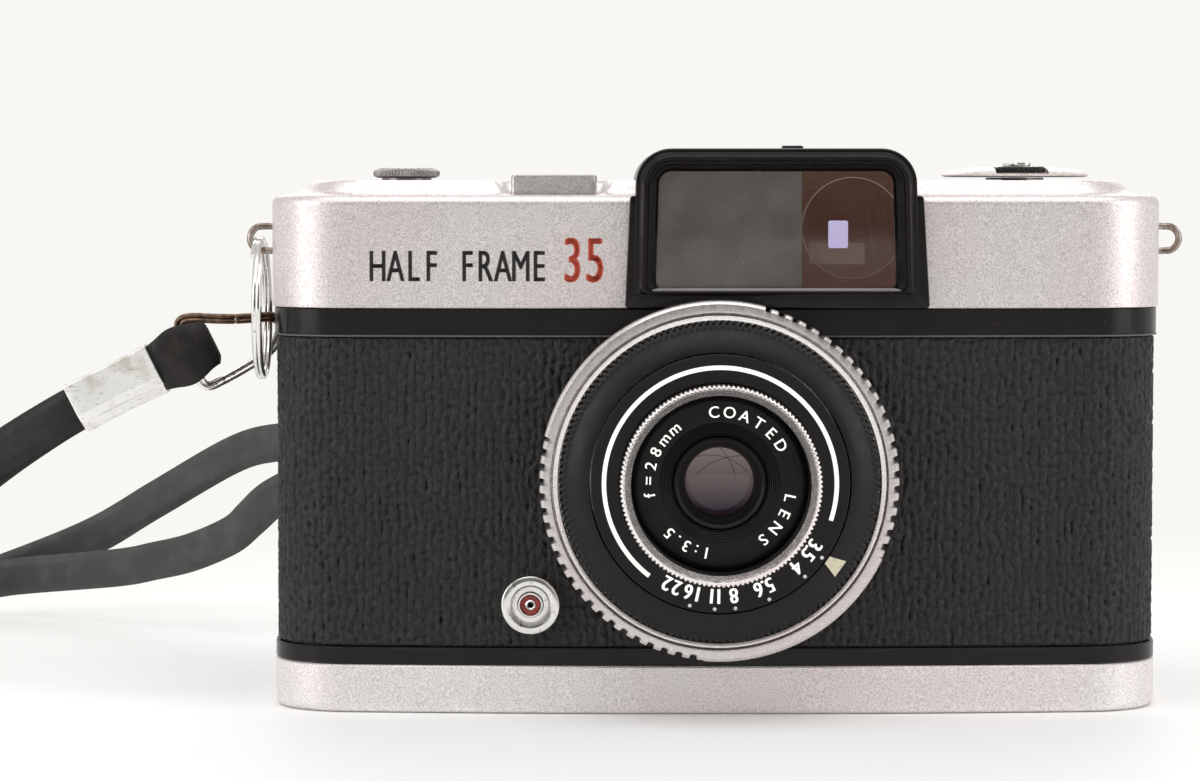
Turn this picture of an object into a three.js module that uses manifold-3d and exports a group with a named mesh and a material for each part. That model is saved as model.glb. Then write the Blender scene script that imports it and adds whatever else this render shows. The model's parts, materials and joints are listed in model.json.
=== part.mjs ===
// A half frame 35 mm viewfinder camera with its wrist strap, built from its separate pieces.
// Millimetres, +Z up. The lens looks along -Y and +X is to the right seen from the front.
// The origin lies on the resting plane, below the lens axis, near the middle of the body's depth.
import * as THREE from "three";
import { mergeVertices } from "three/addons/utils/BufferGeometryUtils.js";
import Module from "manifold-3d";

// Body plan: a gently bowed front, a flat rear and four round corners.
const HALF_LENGTH = 54.1;
const FRONT_Y = -14.3;
const REAR_Y = 14.9;
const FRONT_BOW = 1.8;
const CORNER = 9;
const ARC_HANDLE = 0.5523; // length of a Bezier handle that draws a quarter circle of radius 1

// Heights of the layers of the body.
const BASE_TOP = 5.9;
const CASTING_BOTTOM = 6.2;
const LEATHER_BOTTOM = 8.1;
const LEATHER_TOP = 45.7;
const CASTING_TOP = 48.9;
const COVER_BOTTOM = 49.2;
const LEDGE_Z = 62.8;
const PLATFORM_TOP = 64.6;

// Skins and gaps.
const LEATHER = 0.5;
const SHEET = 0.8;
const GAP = 0.05;
const BAND_PROUD = 0.15;
const COVER_PROUD = 0.4;
const PLATFORM_INSET = 2.0;
const LEATHER_BED = -(LEATHER + GAP); // growth of the body plan under the leatherette
const SEAM_Y = 2.0; // the joint between the front casting and the removable back

// Lens axis, film plane and the vertical shafts.
const LENS_Z = 28.8;
const FILM_Y = 10.2;
const SPOOL = { x: -38.3, y: 2.3 };
const CARTRIDGE = { x: 37.3, y: 0.8 };
const GEAR_MODULE = 0.8;
const WHEEL_TEETH = 28;
const SPROCKET_TEETH = 21;
const GEAR_CENTRES = (GEAR_MODULE * (WHEEL_TEETH + SPROCKET_TEETH)) / 2 + 0.05;
const SPROCKET_RADIUS = 6.05;
const SPROCKET_Y = FILM_Y - SPROCKET_RADIUS;
const SPROCKET = {
  x: SPOOL.x + Math.sqrt(GEAR_CENTRES ** 2 - (SPROCKET_Y - SPOOL.y) ** 2),
  y: SPROCKET_Y,
};

// Radii of the chambers and of the holes for the shafts inside the casting.
const CARTRIDGE_CHAMBER = 12.8;
const SPOOL_CHAMBER = 11;
const SPROCKET_CHAMBER = 6.7;
const SHAFT_HOLE = 2.1;
const CHAMBER_TOP = 46.5;
const GATE = { left: -13.5, right: 24.3 };

// Radii and depths of the lens. Depths are positions on the Y axis.
const MOUNT_BORE = 14.2;
const MOUNT_OUTSIDE = 16.0;
const FOCUS_RADIUS = 21.5;
const FOCUS_FRONT = -21;
const FOCUS_REAR = -17.2;
const KNURLED_ARCS = [[-25.4, 75.1], [165.4, 264.9]]; // degrees of the focusing ring that are knurled
const BLADE_PIVOT = 9.6;
const BLADE_THICKNESS = 0.12;

// Finder housing over the middle of the top cover.
const HOUSING = { left: -9.4, right: 23.5, top: 68.4, front: -17, rear: 14.9, corner: 4.3 };
const WINDOW = { left: -8.2, right: 21.8, bottom: 51.5, top: 66 };
const PANE_REAR = -15.2; // the seat of the window pane
const EYEPIECE = { left: 12.3, right: 20.7, bottom: 54.2, top: 61.6 };

// Controls on the top: the release in its notch, the advance wheel, and the rewind knob with its crank.
const BUTTON = { x: -19.78, y: -7, halfWidth: 5.18, halfDepth: 4.06, top: 65.3, bottom: 60.8 };
const BUTTON_GAP = 0.14;
const NOTCH = { left: -26, right: -13.5, rear: -1.6 };
const WHEEL = { bottom: 51.5, top: 55, radius: 13.6, teeth: 36 };
const KNOB = { radius: 9.1, bottom: 65, top: 66.4, slot: 3.3 };
const CRANK_PIVOT = { y: 1.5, z: 66.1 }; // y is measured from the rewind shaft
const GRIP_Y = -6; // measured from the rewind shaft

// Fittings in the front and the bottom: flash contact, tripod bush, back key and rewind release.
const SYNC = { x: -22.6, z: 13.4, radius: 3.6 };
const BUSH = { x: 14, y: 3, radius: 5.2 };
const KEY = { x: 37, y: -2, radius: 7 };
const REWIND_RELEASE = { x: SPROCKET.x, y: SPROCKET.y, radius: 1.6 };

// Strap furniture beside the left end.
const LUG_Z = 57.4;
const LUG_WIRE = 0.425;
const SPLIT_RING = { x: -56.25, z: 48.8, radius: 8.5, wire: 0.4 };
const STRAP_WIDTH = 5.8;
const STRAP_THICKNESS = 0.95;
const STRAP_Y = 2.8;
const CRIMP_CENTRE = new THREE.Vector3(-74.7, STRAP_Y, 38.6);
const LINK_SIDE = new THREE.Vector3(-65.5, STRAP_Y, 43.2);

const radians = THREE.MathUtils.degToRad;
const wasm = await Module();
wasm.setup();

// ---------- solids ----------

// A closed geometry as a manifold solid with its faces pointing out.
function solid(geometry) {
  const bare = new THREE.BufferGeometry();
  bare.setAttribute("position", geometry.getAttribute("position"));
  bare.setIndex(geometry.index);
  const merged = mergeVertices(bare, 1e-4);
  const corners = merged.index.array;
  const build = (first, second, third) => {
    const faces = [];
    for (let i = 0; i < corners.length; i += 3) {
      const face = [corners[i + first], corners[i + second], corners[i + third]];
      if (new Set(face).size === 3) faces.push(...face);
    }
    return new wasm.Manifold(
      new wasm.Mesh({
        numProp: 3,
        vertProperties: merged.attributes.position.array,
        triVerts: new Uint32Array(faces),
      }),
    );
  };
  const made = build(0, 1, 2);
  return made.volume() < 0 ? build(0, 2, 1) : made;
}

const join = (first, ...others) => others.reduce((sum, other) => sum.add(other), first);
const cut = (first, ...tools) => tools.reduce((left, tool) => left.subtract(tool), first);

// A box between two corners.
function block(x0, x1, y0, y1, z0, z1) {
  const box = new THREE.BoxGeometry(x1 - x0, y1 - y0, z1 - z0);
  return solid(box.translate((x0 + x1) / 2, (y0 + y1) / 2, (z0 + z1) / 2));
}

// Cutters that remove everything of the body behind or before a plane across its depth.
const behind = (y) => block(-60, 60, y, 40, 0, 60);
const before = (y) => block(-60, 60, -40, y, 0, 60);

// A flat outline in the XY plane raised from z0 to z1.
function slab(outline, z0, z1, curveSegments = 5) {
  const options = { depth: z1 - z0, bevelEnabled: false, curveSegments };
  return solid(new THREE.ExtrudeGeometry(outline, options).translate(0, 0, z0));
}

// An outline raised from z0 to z1 whose top edge is rounded.
function cushion(outline, z0, z1, edge, curveSegments = 5) {
  const options = {
    depth: z1 - z0,
    bevelThickness: edge,
    bevelSize: edge,
    bevelOffset: -edge,
    bevelSegments: 3,
    curveSegments,
  };
  const raised = new THREE.ExtrudeGeometry(outline, options).translate(0, 0, z0 - edge);
  return cut(solid(raised), block(-80, 80, -40, 40, z0 - 20, z0));
}

// An outline drawn in the XZ plane and given a depth from y0 (front) to y1 (rear).
function facing(outline, y0, y1, curveSegments = 8) {
  const options = { depth: y1 - y0, bevelEnabled: false, curveSegments };
  const raised = new THREE.ExtrudeGeometry(outline, options);
  return solid(raised.rotateX(Math.PI / 2).translate(0, y1, 0));
}

// A solid of revolution from [radius, height] points. A profile off the axis closes on itself.
function lathe(profile, segments) {
  const points = profile.map(([radius, height]) => new THREE.Vector2(radius, height));
  if (profile[0][0] > 0) points.push(points[0].clone());
  return new THREE.LatheGeometry(points, segments);
}
const turnedZ = (profile, x, y, segments = 24) =>
  solid(lathe(profile, segments).rotateX(Math.PI / 2).translate(x, y, 0));
const turnedY = (profile, x = 0, z = LENS_Z, segments = 40) =>
  solid(lathe(profile, segments).translate(x, 0, z));

const rodZ = (radius, z0, z1, x, y, segments = 24) =>
  turnedZ([[0, z0], [radius, z0], [radius, z1], [0, z1]], x, y, segments);
const rodY = (radius, y0, y1, x, z, segments = 24) =>
  turnedY([[0, y0], [radius, y0], [radius, y1], [0, y1]], x, z, segments);

// A round wire along a curve.
function wire(path, radius, steps, sides = 8) {
  const section = new THREE.Shape();
  for (let i = 0; i < sides; i++) {
    const angle = (i / sides) * 2 * Math.PI;
    const place = [radius * Math.cos(angle), radius * Math.sin(angle)];
    if (i === 0) section.moveTo(...place);
    else section.lineTo(...place);
  }
  return solid(new THREE.ExtrudeGeometry(section, { steps, extrudePath: path }));
}

// A flat band along a curve, with its width along `up` as far as the curve allows.
function ribbon(path, width, thickness, steps, up = new THREE.Vector3(0, 0, 1)) {
  const positions = [];
  const faces = [];
  for (let i = 0; i <= steps; i++) {
    const centre = path.getPointAt(i / steps);
    const along = path.getTangentAt(i / steps);
    const side = new THREE.Vector3().crossVectors(along, up).normalize();
    const tall = new THREE.Vector3().crossVectors(side, along);
    for (const [s, t] of [[-1, -1], [1, -1], [1, 1], [-1, 1]]) {
      const corner = centre.clone();
      corner.addScaledVector(side, (s * thickness) / 2).addScaledVector(tall, (t * width) / 2);
      positions.push(...corner.toArray());
    }
    if (i === steps) continue;
    for (let k = 0; k < 4; k++) {
      const here = 4 * i + k;
      const next = 4 * i + ((k + 1) % 4);
      faces.push(here, next, next + 4, here, next + 4, here + 4);
    }
  }
  const last = 4 * steps;
  faces.push(0, 2, 1, 0, 3, 2, last, last + 1, last + 2, last, last + 2, last + 3);
  const geometry = new THREE.BufferGeometry();
  geometry.setAttribute("position", new THREE.Float32BufferAttribute(positions, 3));
  geometry.setIndex(faces);
  return solid(geometry);
}

const curve = (...points) =>
  new THREE.CatmullRomCurve3(points.map((point) => new THREE.Vector3(...point)));

// ---------- outlines ----------

// The plan of the body, grown outwards by `grow`.
function bodyPlan(grow) {
  const end = HALF_LENGTH + grow;
  const turn = HALF_LENGTH - CORNER;
  const front = FRONT_Y - grow;
  const frontEnd = front + FRONT_BOW;
  const rear = REAR_Y + grow;
  const radius = CORNER + grow;
  const handle = ARC_HANDLE * radius;
  const lean = ((2 * FRONT_BOW) / turn) * handle;
  const beyond = turn + handle;
  const frontSide = frontEnd + radius;
  const rearSide = rear - radius;
  const plan = new THREE.Shape();
  plan.moveTo(-turn, frontEnd);
  plan.quadraticCurveTo(0, front - FRONT_BOW, turn, frontEnd);
  plan.bezierCurveTo(beyond, frontEnd + lean, end, frontSide - handle, end, frontSide);
  plan.lineTo(end, rearSide);
  plan.bezierCurveTo(end, rearSide + handle, beyond, rear, turn, rear);
  plan.lineTo(-turn, rear);
  plan.bezierCurveTo(-beyond, rear, -end, rearSide + handle, -end, rearSide);
  plan.lineTo(-end, frontSide);
  plan.bezierCurveTo(-end, frontSide - handle, -beyond, frontEnd + lean, -turn, frontEnd);
  return plan;
}

function roundedRect(x0, x1, y0, y1, corner) {
  const shape = new THREE.Shape();
  shape.moveTo(x0 + corner, y0);
  shape.lineTo(x1 - corner, y0);
  shape.absarc(x1 - corner, y0 + corner, corner, -Math.PI / 2, 0);
  shape.lineTo(x1, y1 - corner);
  shape.absarc(x1 - corner, y1 - corner, corner, 0, Math.PI / 2);
  shape.lineTo(x0 + corner, y1);
  shape.absarc(x0 + corner, y1 - corner, corner, Math.PI / 2, Math.PI);
  shape.lineTo(x0, y0 + corner);
  shape.absarc(x0 + corner, y0 + corner, corner, Math.PI, 1.5 * Math.PI);
  return shape;
}

// A toothed outline: each tooth spans `root` of the pitch at its foot and `tip` at its head.
// Between the angles that `smooth` accepts, the outline stays at the head radius.
function toothed(teeth, rootRadius, tipRadius, root, tip, phase = 0, smooth = () => false) {
  const pitch = (2 * Math.PI) / teeth;
  const points = [];
  for (let i = 0; i < teeth; i++) {
    const middle = phase + i * pitch;
    const tooth = [[rootRadius, -root], [tipRadius, -tip], [tipRadius, tip], [rootRadius, root]];
    const plain = [[tipRadius, 0]];
    for (const [radius, share] of smooth(THREE.MathUtils.radToDeg(middle)) ? plain : tooth) {
      const angle = middle + (share * pitch) / 2;
      points.push(new THREE.Vector2(radius * Math.cos(angle), radius * Math.sin(angle)));
    }
  }
  return new THREE.Shape(points);
}

const gearOutline = (teeth, phase) => {
  const pitchRadius = (GEAR_MODULE * teeth) / 2;
  const root = pitchRadius - 0.9 * GEAR_MODULE;
  const tip = pitchRadius + 0.7 * GEAR_MODULE;
  return toothed(teeth, root, tip, 0.5, 0.26, phase);
};

// ---------- materials ----------

const finish = (color, roughness, metalness) =>
  new THREE.MeshStandardMaterial({ color, roughness, metalness, flatShading: true });
const SATIN_SILVER = finish(0xc9bfbd, 0.42, 0.9);
const CHROME = finish(0xd8d6d2, 0.18, 1);
const BLACK_ENAMEL = finish(0x1e1918, 0.25, 0.2);
const BLACK_METAL = finish(0x2b2a29, 0.5, 0.6);
const LEATHERETTE = finish(0x2a2725, 0.75, 0);
const STEEL = finish(0x9a9894, 0.4, 0.9);
const BRASS = finish(0xb08d4a, 0.4, 0.9);
const MASK_GREY = finish(0x4a4844, 0.7, 0);
const GLASS = finish(0x6b6070, 0.05, 0);
const RED_PLASTIC = finish(0x8c2a22, 0.4, 0);
const STRAP_BLACK = finish(0x2f2b29, 0.55, 0);

const camera = new THREE.Group();

function piece(name, body, material) {
  const { vertProperties, triVerts } = body.getMesh();
  const geometry = new THREE.BufferGeometry();
  geometry.setAttribute("position", new THREE.BufferAttribute(vertProperties, 3));
  geometry.setIndex(new THREE.BufferAttribute(triVerts, 1));
  geometry.computeVertexNormals();
  const mesh = new THREE.Mesh(geometry, material);
  mesh.name = name;
  camera.add(mesh);
}

// ---------- body ----------

function bodyCasting() {
  const whole = join(
    slab(bodyPlan(LEATHER_BED), CASTING_BOTTOM, CASTING_TOP),
    slab(bodyPlan(BAND_PROUD), CASTING_BOTTOM, LEATHER_BOTTOM - GAP),
    slab(bodyPlan(BAND_PROUD), LEATHER_TOP + GAP, CASTING_TOP),
  );
  const front = cut(whole, behind(SEAM_Y));
  const gate = block(GATE.left, GATE.right, SEAM_Y - 1, FILM_Y - 0.2, LEATHER_BOTTOM, LEATHER_TOP);
  const chamber = (radius, { x, y }, segments) =>
    rodZ(radius, LEATHER_BOTTOM, CHAMBER_TOP, x, y, segments);
  const roofHole = (radius, { x, y }) => rodZ(radius, 40, 50, x, y, 24);
  return cut(
    join(front, gate),
    chamber(CARTRIDGE_CHAMBER, CARTRIDGE, 40),
    chamber(SPOOL_CHAMBER, SPOOL, 40),
    chamber(SPROCKET_CHAMBER, SPROCKET, 24),
    roofHole(1.8, CARTRIDGE),
    roofHole(SHAFT_HOLE, SPOOL),
    roofHole(SHAFT_HOLE, SPROCKET),
    rodZ(1.0, 42.2, 50, BUTTON.x, BUTTON.y, 16),
    rodY(MOUNT_OUTSIDE + 0.1, -20, -8, 0, LENS_Z, 48),
    rodY(MOUNT_BORE + 0.3, -9, -2, 0, LENS_Z, 48),
    block(-9, 9, -3, FILM_Y + 1, LENS_Z - 12, LENS_Z + 12),
    rodY(SYNC.radius + 0.15, -20, -12.7, SYNC.x, SYNC.z, 24),
    block(-60, -50, SEAM_Y - 1.5, 20, 0, 60),
    block(50, 60, SEAM_Y - 1.5, 20, 0, 60),
  );
}

function frontLeatherette() {
  const sheet = cut(
    slab(bodyPlan(0), LEATHER_BOTTOM, LEATHER_TOP),
    slab(bodyPlan(-LEATHER), 0, 60),
    behind(SEAM_Y - 1.8),
  );
  return cut(
    sheet,
    rodY(MOUNT_OUTSIDE + 0.4, -20, -8, 0, LENS_Z, 48),
    rodY(SYNC.radius + 0.15, -20, -8, SYNC.x, SYNC.z, 24),
  );
}

function syncSocket() {
  const collar = [
    [1.35, -12.9], [SYNC.radius, -12.9], [SYNC.radius, -14.9], [SYNC.radius - 0.3, -15.2],
    [2.4, -15.2], [2.2, -14.4], [1.35, -14.4],
  ];
  const insulator = [[0.54, -12.9], [1.25, -12.9], [1.25, -14.6], [0.54, -14.6]];
  piece("sync_socket", turnedY(collar, SYNC.x, SYNC.z, 24), CHROME);
  piece("sync_insulator", turnedY(insulator, SYNC.x, SYNC.z, 16), RED_PLASTIC);
}

function backCover() {
  return cut(
    slab(bodyPlan(LEATHER_BED), CASTING_BOTTOM, CASTING_TOP),
    slab(bodyPlan(LEATHER_BED - SHEET), 0, 60),
    before(SEAM_Y + 0.3),
  );
}

function backLeatherette() {
  return cut(
    slab(bodyPlan(0), LEATHER_BOTTOM, LEATHER_TOP),
    slab(bodyPlan(-LEATHER), 0, 60),
    before(SEAM_Y + 0.3),
  );
}

function basePlate() {
  const floor = 1.4;
  return cut(
    slab(bodyPlan(BAND_PROUD), 0, BASE_TOP),
    slab(bodyPlan(BAND_PROUD - SHEET), floor, 10),
    rodZ(BUSH.radius + 0.1, -1, 5, BUSH.x, BUSH.y),
    rodZ(KEY.radius + 0.2, -1, 0.9, KEY.x, KEY.y),
    rodZ(1.7, -1, 3, KEY.x, KEY.y, 24),
    rodZ(REWIND_RELEASE.radius + 0.15, -1, 3, REWIND_RELEASE.x, REWIND_RELEASE.y, 24),
  );
}

function tripodBush() {
  return turnedZ([[3.1, 0.1], [5.2, 0.1], [5.2, 4.6], [3.1, 4.6]], BUSH.x, BUSH.y);
}

function rewindReleaseButton() {
  const { x, y, radius } = REWIND_RELEASE;
  return rodZ(radius, 0.15, 5, x, y, 24);
}

function backKey() {
  const disc = join(
    cut(
      rodZ(KEY.radius, 0.2, 0.85, KEY.x, KEY.y, 40),
      block(KEY.x - 5.2, KEY.x + 5.2, KEY.y - 2.4, KEY.y + 2.4, 0, 0.55),
    ),
    rodZ(1.55, 0.8, 3.4, KEY.x, KEY.y, 24),
  );
  piece("back_key_disc", disc, STEEL);
  const bail = cut(
    block(KEY.x - 4.9, KEY.x + 4.9, KEY.y - 2.1, KEY.y + 2.1, 0.15, 0.45),
    block(KEY.x - 3.9, KEY.x + 3.9, KEY.y - 1.2, KEY.y + 3, -1, 2),
  );
  piece("back_key_bail", bail, CHROME);
}

function pressurePlate() {
  const plateFront = FILM_Y + 0.2;
  return join(
    block(-14, 14, plateFront, plateFront + 1, LENS_Z - 16, LENS_Z + 16),
    rodY(4, plateFront + 0.9, plateFront + 2, 0, LENS_Z, 24),
  );
}

// ---------- top cover ----------

function topCover() {
  const { left, right, rear } = NOTCH;
  const outside = join(
    cushion(bodyPlan(COVER_PROUD), COVER_BOTTOM, LEDGE_Z, 1.2),
    cushion(bodyPlan(-PLATFORM_INSET), LEDGE_Z - 1.5, PLATFORM_TOP, 1.1),
  );
  const platformHollow = cut(
    slab(bodyPlan(-PLATFORM_INSET - 1.2), LEDGE_Z - 2, PLATFORM_TOP - SHEET),
    block(left - 1, right + 1, -20, rear + 1, LEDGE_Z - 3, 70),
  );
  return cut(
    outside,
    slab(bodyPlan(COVER_PROUD - SHEET), 40, LEDGE_Z - SHEET),
    platformHollow,
    block(left, right, -20, rear, LEDGE_Z, 70),
    block(HOUSING.left + 0.4, HOUSING.right - 0.9, -20, 20, 50.8, 70),
    block(
      BUTTON.x - BUTTON.halfWidth - BUTTON_GAP, BUTTON.x + BUTTON.halfWidth + BUTTON_GAP,
      BUTTON.y - BUTTON.halfDepth - BUTTON_GAP, BUTTON.y + BUTTON.halfDepth + BUTTON_GAP,
      LEDGE_Z - 2, 70,
    ),
    rodZ(3.3, 60, 70, SPOOL.x, SPOOL.y),
    rodZ(1.8, 60, 70, CARTRIDGE.x, CARTRIDGE.y, 24),
    block(SPOOL.x - 9.5, SPOOL.x + 9.5, 12, 20, WHEEL.bottom - 0.4, WHEEL.top + 0.4),
  );
}

// ---------- finder ----------

// The outline of an opening, drawn in by `inset`.
const opening = ({ left, right, bottom, top }, inset, corner) =>
  roundedRect(left + inset, right - inset, bottom + inset, top - inset, corner);

function finderHousing() {
  const { left, right, top, front, rear, corner } = HOUSING;
  const face = new THREE.Shape();
  face.moveTo(left - 1.8, COVER_BOTTOM);
  face.lineTo(right + 1.6, COVER_BOTTOM);
  face.lineTo(right + 0.4, 62.8);
  face.lineTo(right, top - corner);
  face.absarc(right - corner, top - corner, corner, 0, Math.PI / 2);
  face.lineTo(left + corner, top);
  face.absarc(left + corner, top - corner, corner, Math.PI / 2, Math.PI);
  face.lineTo(left - 0.4, 62.8);
  const coverFront = FRONT_Y - COVER_PROUD;
  const roof = cut(
    facing(roundedRect(left, right, 50, top, corner), coverFront - 0.2, rear),
    block(-30, 30, -20, 20, 40, PLATFORM_TOP + 0.15),
  );
  return cut(
    join(
      facing(face, front, coverFront - 0.1),
      roof,
      block(left + 0.7, right - 1.2, coverFront - 0.2, rear + 0.3, 51.1, PLATFORM_TOP + 0.5),
    ),
    block(left + 1.8, right - 2.3, PANE_REAR, rear - 1.7, 52, 65.6),
    facing(opening(WINDOW, 0, 1), front - 1, PANE_REAR),
    facing(opening(EYEPIECE, -0.15, 0), 10, 20),
  );
}

function finderOptics() {
  const { left, right, bottom, top } = EYEPIECE;
  const divide = 10.1; // between the painted mask and the finder's lens
  piece("finder_window", facing(opening(WINDOW, 0.2, 0.9), -16.3, -15.4, 2), GLASS);
  piece("finder_mask", block(-7.4, divide - 0.1, -14.9, -14.5, 52.2, 65.4), MASK_GREY);
  piece("finder_front_lens", block(divide + 0.1, 21.0, -14.9, -13.2, 52.2, 65.4), GLASS);
  piece("finder_eyepiece", block(left, right, 13.4, 15.1, bottom, top), GLASS);
  const screw = rodZ(1.35, HOUSING.top + 0.05, HOUSING.top + 0.35, 9, -12, 20);
  piece("finder_roof_screw", screw, BLACK_METAL);
}

// ---------- film transport ----------

function transport() {
  const towardSprocket = Math.atan2(SPROCKET.y - SPOOL.y, SPROCKET.x - SPOOL.x);
  const rim = toothed(WHEEL.teeth, WHEEL.radius - 0.5, WHEEL.radius, 0.8, 0.3);
  const wheel = slab(rim, WHEEL.bottom, WHEEL.top).translate([SPOOL.x, SPOOL.y, 0]);
  piece("advance_wheel", join(wheel, rodZ(3, 50.9, WHEEL.bottom + 0.5, SPOOL.x, SPOOL.y)), STEEL);

  const gear = slab(gearOutline(WHEEL_TEETH, towardSprocket), 49.5, 50.8);
  piece("advance_gear", gear.translate([SPOOL.x, SPOOL.y, 0]), BRASS);
  const driven = slab(
    gearOutline(SPROCKET_TEETH, towardSprocket + Math.PI + Math.PI / SPROCKET_TEETH), 49.5, 50.8,
  );
  piece("sprocket_gear", driven.translate([SPROCKET.x, SPROCKET.y, 0]), BRASS);

  const spool = [
    [0, 8.6], [10.2, 8.6], [10.2, 9.6], [5.4, 9.6], [5.4, 44.6], [10.2, 44.6],
    [10.2, 45.6], [1.9, 45.6], [1.9, 49.3], [0, 49.3],
  ];
  piece("takeup_spool", turnedZ(spool, SPOOL.x, SPOOL.y), BLACK_METAL);

  const sprocketTooth = toothed(8, SPROCKET_RADIUS - 1.3, SPROCKET_RADIUS + 0.4, 0.3, 0.14);
  const rows = [10.2, 34.8].map((z) =>
    slab(sprocketTooth, z, z + 1.2).translate([SPROCKET.x, SPROCKET.y, 0]),
  );
  const shaft = [
    [0, 8.6], [SPROCKET_RADIUS, 8.6], [SPROCKET_RADIUS, 12.6], [4.4, 12.6], [4.4, 33.6],
    [SPROCKET_RADIUS, 33.6], [SPROCKET_RADIUS, 37.6], [1.9, 37.6], [1.9, 49.3], [0, 49.3],
  ];
  piece("sprocket_shaft", join(turnedZ(shaft, SPROCKET.x, SPROCKET.y), ...rows), STEEL);

  const dial = [[0, 56], [3.1, 56], [3.1, 64.9], [4.1, 64.9], [4.1, 65.9], [3.9, 66.1], [0, 66.1]];
  piece("counter_dial", turnedZ(dial, SPOOL.x, SPOOL.y), CHROME);
}

// ---------- shutter release ----------

function release() {
  const { x, y, halfWidth, halfDepth, top, bottom } = BUTTON;
  const cap = roundedRect(x - halfWidth, x + halfWidth, y - halfDepth, y + halfDepth, 0.4);
  piece("shutter_button", cushion(cap, bottom, top, 0.25, 1), SATIN_SILVER);
  piece("release_rod", rodZ(0.8, 45, bottom - GAP, x, y, 16), STEEL);
  const turns = 5;
  const low = 51.3;
  const high = 60.2;
  const steps = turns * 8;
  const coil = Array.from({ length: steps + 1 }, (_, i) => {
    const angle = (i * Math.PI) / 4;
    return [x + 2 * Math.cos(angle), y + 2 * Math.sin(angle), low + ((high - low) * i) / steps];
  });
  piece("button_spring", wire(curve(...coil), 0.25, steps, 4), STEEL);
}

// ---------- rewind ----------

function rewind() {
  const { x, y } = CARTRIDGE;
  const washer = turnedZ([[1.9, 64.68], [3.6, 64.68], [3.6, 64.93], [1.9, 64.93]], x, y);
  piece("rewind_washer", washer, STEEL);
  const { radius, bottom, top, slot } = KNOB;
  const crown = [[0, bottom], [radius - 0.4, bottom], [radius, bottom + 0.5], [8.2, top], [0, top]];
  const channel = block(x - slot, x + slot, y - 12, y + 3.2, bottom + 0.35, 70);
  piece("rewind_knob", cut(turnedZ(crown, x, y, 48), channel), SATIN_SILVER);
  const shaft = join(
    rodZ(1.6, 38, bottom - GAP, x, y, 24),
    block(x - 2.4, x + 2.4, y - 0.6, y + 0.6, 35.5, 38.5),
  );
  piece("rewind_shaft", shaft, STEEL);
  const pin = solid(
    new THREE.CylinderGeometry(0.42, 0.42, 2 * slot - 0.4, 16)
      .rotateZ(Math.PI / 2)
      .translate(x, y + CRANK_PIVOT.y, CRANK_PIVOT.z),
  );
  const lever = block(x - 1.4, x + 1.4, y + GRIP_Y - 1.6, y + CRANK_PIVOT.y, 66.33, 66.73);
  piece("rewind_crank", join(pin, lever), CHROME);
  piece("crank_grip", rodZ(3.0, 65.5, 66.28, x, y + GRIP_Y, 32), BLACK_METAL);
}

// ---------- lens and shutter ----------

const isBetween = (degrees, [from, to]) =>
  [-360, 0, 360].some((turn) => degrees + turn >= from && degrees + turn <= to);
const isSmooth = (degrees) => !KNURLED_ARCS.some((arc) => isBetween(degrees, arc));

function lensRings() {
  const mount = [
    [MOUNT_BORE, -17.0], [20.2, -17.0], [20.2, -14.5], [MOUNT_OUTSIDE, -14.5],
    [MOUNT_OUTSIDE, -9.2], [MOUNT_BORE, -9.2],
  ];
  piece("helicoid_mount", turnedY(mount), BLACK_METAL);

  const grip = toothed(75, FOCUS_RADIUS - 0.7, FOCUS_RADIUS, 0.8, 0.4, 0, isSmooth);
  const rim = facing(grip, FOCUS_FRONT, FOCUS_REAR).translate([0, 0, LENS_Z]);
  piece(
    "focus_ring",
    cut(rim, rodY(20.0, -30, -17.7, 0, LENS_Z, 40), rodY(14.6, -30, 0, 0, LENS_Z, 40)),
    SATIN_SILVER,
  );

  const index = [
    [13.1, -22.0], [15.3, -22.0], [15.3, -18.2], [19.3, -18.2], [19.3, -21.3],
    [19.76, -21.3], [19.76, -17.9], [13.1, -17.9],
  ];
  piece("index_ring", turnedY(index), CHROME);
  const speed = [[15.45, -23.3], [18.1, -22.0], [19.12, -21.9], [19.12, -18.5], [15.45, -18.5]];
  piece("speed_ring", turnedY(speed), BLACK_METAL);
  const scale = [[12.03, -23.6], [15.3, -23.6], [15.3, -22.3], [12.03, -22.3]];
  piece("aperture_scale_ring", turnedY(scale), BLACK_METAL);
  const filter = [[11.04, -27.5], [11.9, -27.5], [11.9, -22.4], [11.04, -22.4]];
  piece("filter_ring", turnedY(filter), CHROME);
}

function lensUnit() {
  const shell = [
    [5.0, -21.0], [10.9, -21.0], [10.9, -22.2], [13.0, -22.2], [13.0, -17.8], [14.0, -17.8],
    [14.0, -6.0], [5.0, -6.0], [5.0, -9.6], [12.0, -9.6], [12.0, -13.6], [5.0, -13.6],
  ];
  piece("shutter_case", turnedY(shell), BLACK_METAL);
  const name = [[5.6, -21.1], [10.75, -21.1], [10.75, -21.6], [9.76, -22.5], [5.6, -22.5]];
  piece("name_ring", turnedY(name), BLACK_METAL);
  const cone = [[4.05, -19.65], [4.9, -19.65], [4.9, -21.05], [5.5, -21.05], [5.5, -22.3]];
  piece("front_retaining_ring", turnedY(cone, 0, LENS_Z, 28), BLACK_ENAMEL);
  const front = [[0, -19.5], [2.5, -19.35], [4.85, -18.8], [4.85, -17.4], [0, -17.0]];
  const middle = [[0, -15.1], [4.0, -15.7], [4.85, -15.7], [4.85, -14.0], [4.0, -14.0], [0, -14.6]];
  const rear = [[0, -9.3], [4.85, -8.6], [4.85, -7.0], [0, -6.4]];
  piece("front_lens", turnedY(front, 0, LENS_Z, 24), GLASS);
  piece("middle_lens", turnedY(middle, 0, LENS_Z, 24), GLASS);
  piece("rear_lens", turnedY(rear, 0, LENS_Z, 24), GLASS);
}

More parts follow.
